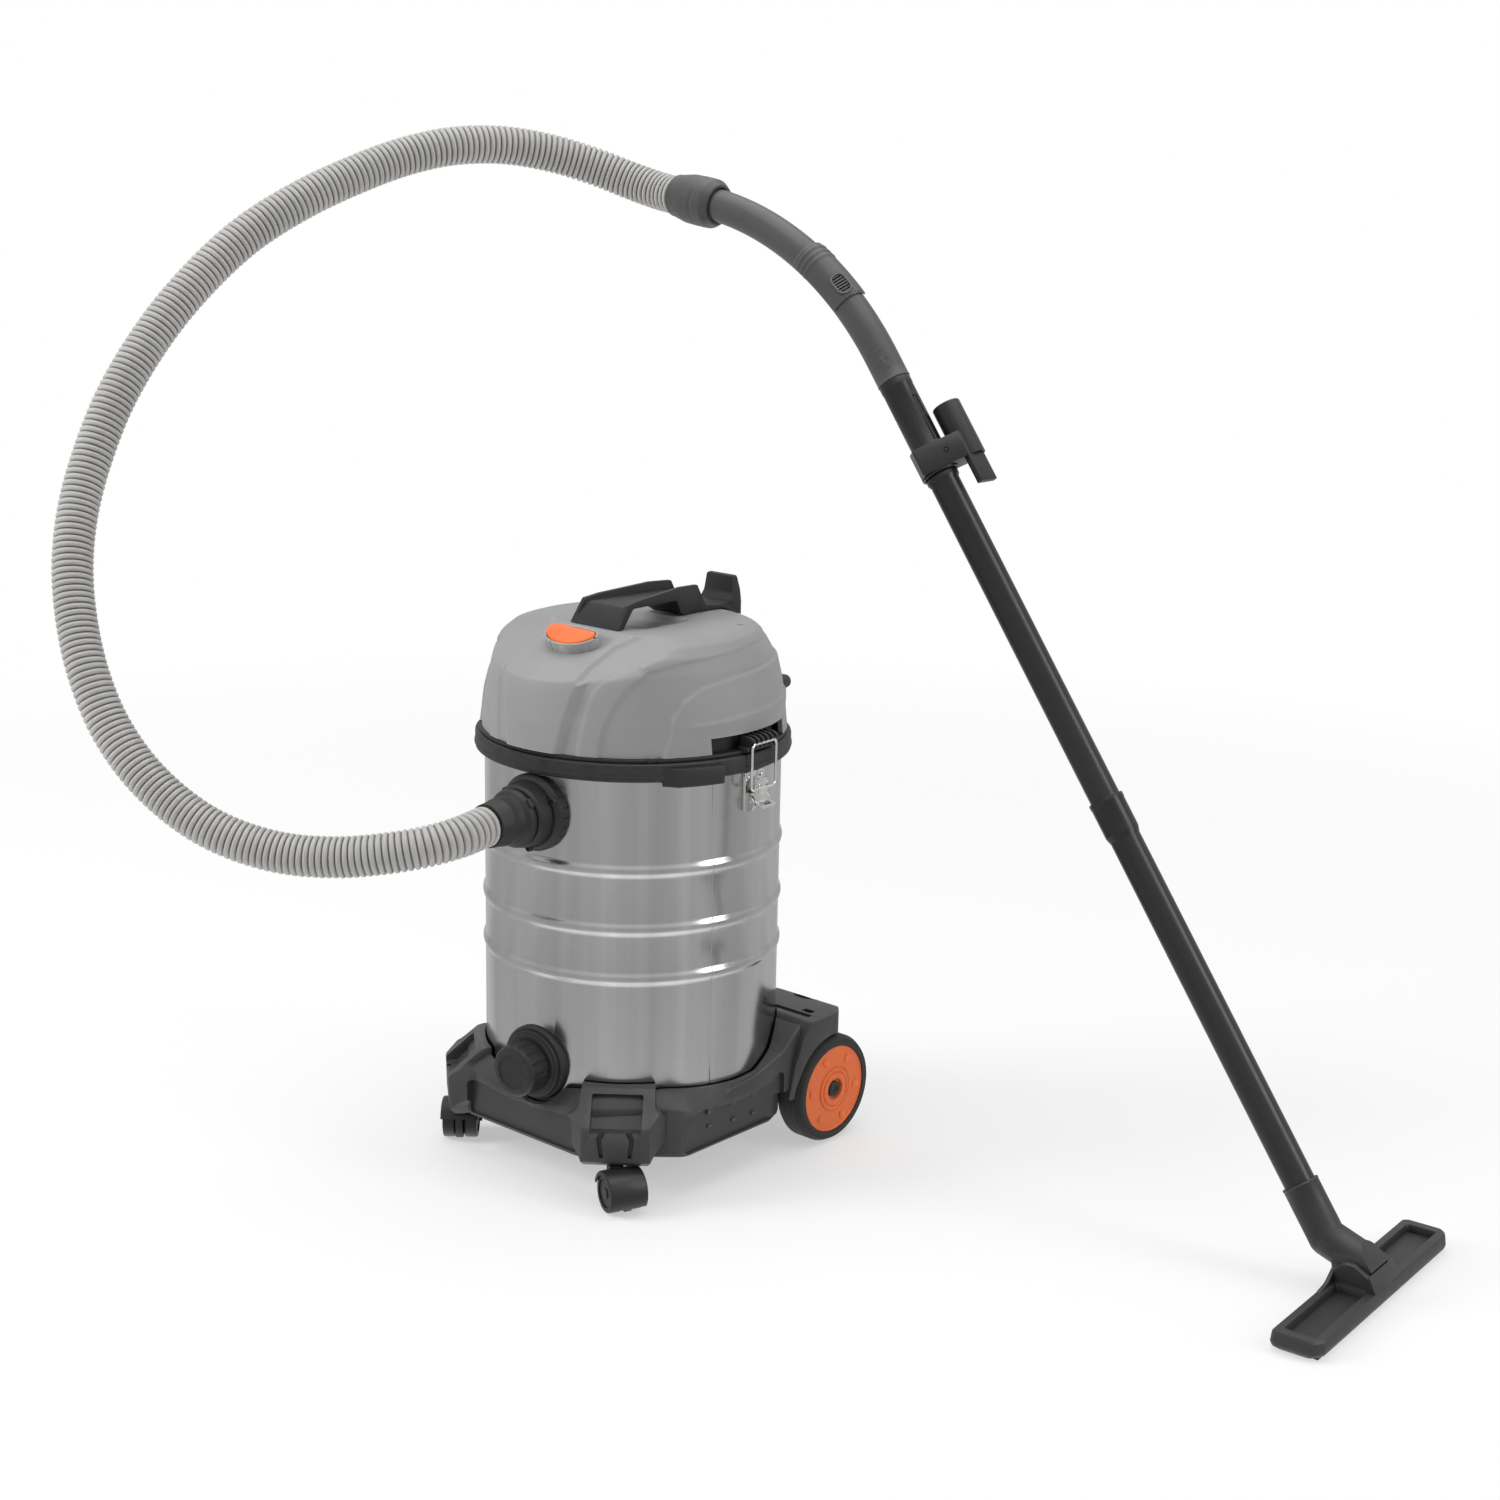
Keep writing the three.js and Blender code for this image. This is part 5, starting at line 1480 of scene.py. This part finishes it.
def make_clip():
    collar = turned("clip_collar", [(18.1, -18), (20.8, -18, 1), (20.8, 15, 1), (18.1, 15)],
                    sides=64)
    plan = [(-20.5, -21.4, 2), (32, -21.4, 1.5), (51, -2, 2), (50, 12, 5), (-5, 12, 4),
            (-20.5, 4, 4)]
    body = soften(prism("clip_body", plan, -16, 13), 0.9)
    blade = soften(prism("clip_blade", [(32, -21.4, 1), (51, -2, 1), (47, 3, 1), (27, -16, 1)],
                         -47, 13), 1.0)
    peg = turned("clip_peg", [(0, -15), (15.5, -15), (15.5, 47, 0.5), (14.6, 48, 0.4), (0, 48)],
                 sides=64)
    join(collar, body, blade, move(peg, 37, -2, 0))
    bore = turned("clip_bore", [(0, -40), (18.1, -40), (18.1, 40), (0, 40)], sides=64)
    room = turned("peg_room", [(0, 2), (12.8, 2), (12.8, 60), (0, 60)], sides=64)
    dip = turned("clip_screw_hole", [(0, 17.6), (2.9, 17.6), (2.9, 24), (0, 24)], sides=24)
    dip.data.transform(Matrix.Rotation(math.pi / 2, 4, "X"))
    cut(collar, bore, move(room, 37, -2, 0), move(dip, 13, -2, -1))
    screw = turned("clip_screw", [(0, 17.2), (2.5, 17.2), (2.5, 18.6, 0.4), (0, 18.9)], sides=24)
    screw.data.transform(Matrix.Rotation(math.pi / 2, 4, "X"))
    cut(screw, block("screw_slit", -4, 4, -20, -18.2, -0.4, 0.4))
    group(collar, move(screw, 13, -2, -1))
    finish_piece(laid_on_wand(turn(collar, 45), 95), "clip", "wand_black", "tool_clip")


# ---------- floor nozzle ----------
def yawed(made):
    """Turns a piece with the nozzle about the upright line through its pin's middle."""
    return turn(made, NOZZLE_YAW, "Z", PIVOT)


def make_elbow():
    x, z = PIVOT.x, PIVOT.z
    bend = WAND_TOP - UP_WAND * (WAND_LENGTH + 57)
    ahead = Vector((x - 6, WAND_Y, z + 5))
    straight = [WAND_TOP - UP_WAND * (WAND_LENGTH + more) for more in (-1, 0.6, 1.6, 24, 57)]
    neck = swept("elbow_neck", straight, [18.6, 19.2, 18.6, 18.6, 18.6], count=64)
    level = swept("elbow_level", [bend, (bend + ahead) / 2, ahead], 18.9, count=64)
    turns = np.radians(np.arange(-90, 91, 6))
    ball = turned("elbow_bend", [(max(18.7 * math.cos(t), 0.0), 18.7 * math.sin(t)) for t in turns],
                  sides=64)
    join(neck, level, move(ball, *bend))
    barrel = x_bar("elbow_barrel", 19.2, x - 22, x + 30, WAND_Y, z + 4, 64)
    join(barrel, block("barrel_low", x - 13, x + 26, WAND_Y - 19.2, WAND_Y + 19.2, z - 14, z + 3))
    facet = [(x - 23, z - 14), (x - 23, z + 26), (x, z + 25), (x + 19.6, z + 2), (x + 15, z - 12),
             (x, z - 18)]
    keep(barrel, drawn_along_y("barrel_side", facet, WAND_Y - 20, WAND_Y + 20))
    soften(barrel, 0.7, 2, 50)
    room = yawed(y_bar("barrel_room", 12.5, WAND_Y - 16, WAND_Y + 16, x, z, 48))
    cut(neck, copy_of(room, "neck_room"))
    cut(yawed(barrel), room)
    body = join(neck, barrel)
    mouth = block("elbow_mouth", x - 8, x + 8, WAND_Y - 12, WAND_Y + 12, z - 30, z)
    pin_room = y_bar("pin_room", 4.5, 0, 400, x, z, 24)
    cut(body, yawed(mouth), yawed(pin_room), swept("air_way", straight, 16.0, count=24),
        swept("air_bend", [bend, (bend + ahead) / 2, ahead], 14.0, count=24))
    finish_piece(body, "elbow", "nozzle_black", "nozzle_elbow")


def make_nozzle():
    x0, x1 = NOZZLE_X - NOZZLE_WIDTH / 2, NOZZLE_X + NOZZLE_WIDTH / 2
    y0, y1 = WAND_Y - NOZZLE_LENGTH / 2, WAND_Y + NOZZLE_LENGTH / 2
    sole, top = FLOOR + 1.5, FLOOR + 20
    rings = []
    for inset, z in ((5, sole), (1.2, sole + 3), (0, sole + 7), (1.0, top - 2), (2.6, top)):
        plan = [(x0 + inset, y0 + inset, 7), (x1 - 6 - inset, y0 + inset, 8),
                (x1 - inset, y0 + 12 + inset, 8), (x1 - inset, y1 - 12 - inset, 8),
                (x1 - 6 - inset, y1 - inset, 8), (x0 + inset, y1 - inset, 7)]
        rings.append([(x, y, z) for x, y in rounded(plan, 5)])
    plate = lofted("nozzle_plate", rings)
    well = 20.8
    near_side, far_side = WAND_Y - well, WAND_Y + well
    cheek_line = [(x0 + 1, sole + 4), (x1 - 3, sole + 4), (x1 - 3, FLOOR + 21, 2),
                  (PIVOT.x + 21, FLOOR + 34, 3), (PIVOT.x + 5, FLOOR + 43, 6),
                  (PIVOT.x - 6, FLOOR + 43, 8),
                  (x0 + 2, FLOOR + 30, 6)]
    cheeks = [soften(drawn_along_y("nozzle_cheek", cheek_line, y, y + 7.8), 1.4, 3)
              for y in (near_side - 7.8, far_side)]
    roof_line = [(PIVOT.x + 20.5, sole + 4), (x1 - 2, sole + 4), (x1 - 2, FLOOR + 21, 3),
                 (PIVOT.x + 22, FLOOR + 36, 2), (PIVOT.x + 20.5, FLOOR + 36)]
    roof = soften(drawn_along_y("nozzle_roof", roof_line, near_side - 7.8, far_side + 7.8), 0.8)
    fin_plan = [(x0 + 2, near_side - 40), (x0 + 6, near_side - 40), (x0 + 6, near_side),
                (x0 + 2, near_side)]
    fin = prism("nozzle_fin", fin_plan, sole + 8, FLOOR + 60)
    fin_side = across("fin_side", [(near_side - 40, sole), (near_side - 40, FLOOR + 20, 6),
                                   (near_side - 20, FLOOR + 23, 14), (near_side - 4, FLOOR + 34, 4),
                                   (near_side, FLOOR + 34), (near_side, sole)], x0 - 5, x0 + 20)
    keep(fin, fin_side)
    head = join(plate, *cheeks, roof, soften(fin, 0.8))
    tools = [block("nozzle_well", x0 - 5, PIVOT.x + 20.5, near_side, far_side, FLOOR - 5,
                   FLOOR + 60),
             block("nozzle_channel", x0 + 15, x1 - 15, y0 + 12, y1 - 12, FLOOR - 1, FLOOR + 9)]
    for low_y, high_y in ((y0 + 14, near_side - 9), (far_side + 9, y1 - 14)):
        loops = []
        for grow, z in ((0, FLOOR + 12), (0.5, top - 1.5), (1.6, top + 0.4), (2, top + 4)):
            outline = [(x0 + 11 - grow, low_y - grow, 3), (x1 - 12 + grow, low_y - grow, 3),
                       (x1 - 12 + grow, high_y + grow, 3), (x0 + 11 - grow, high_y + grow, 3)]
            loops.append([(x, y, z) for x, y in rounded(outline, 4)])
        tools.append(lofted("nozzle_window", loops))
    for x in (x0 + 5, x1 - 10):
        tools.append(block("strip_groove", x, x + 5, y0 + 10, y1 - 10, FLOOR - 1, FLOOR + 6))
    tools.append(y_bar("pin_way", 4.3, WAND_Y - 28.1, WAND_Y + 28.1, PIVOT.x, PIVOT.z, 24))
    cut(head, *tools)
    finish_piece(yawed(head), "nozzle", "nozzle_black", "nozzle_head")


PLAIN_NODES = {
    "drain_seal": "rubber_seal", "head_gasket": "rubber_seal", "cable_gland": "rubber_seal",
    "inlet_deflector": "black_plastic", "exhaust_grille": "black_plastic",
    "fan_shroud": "black_plastic", "filter_cage": "black_plastic",
    "filter_retainer": "black_plastic", "motor_housing": "motor_steel",
    "fan_rotor": "rotor_metal", "sound_foam": "foam", "float_valve": "orange",
    "cartridge_filter": "filter_paper", "rear_axle": "axle_steel", "nozzle_pin": "axle_steel",
    "nozzle_strip_rear": "rubber_seal", "nozzle_strip_front": "rubber_seal",
}


bpy.context.scene.view_settings.view_transform = "Standard"
make_camera()
make_stage()
make_world()
make_hose()
make_tank()
make_ring()
make_inlet()
make_drain()
make_chassis()
make_cover()
make_switch()
make_handle()
make_base()
make_grip()
make_wand()
make_clip()
make_elbow()
make_nozzle()
for side, tag in ((-1, "left"), (1, "right")):
    make_latch(side, tag)
    make_wheel(side, tag)
    make_caster(side, tag)
for node, slot in PLAIN_NODES.items():
    dressed(node, slot)
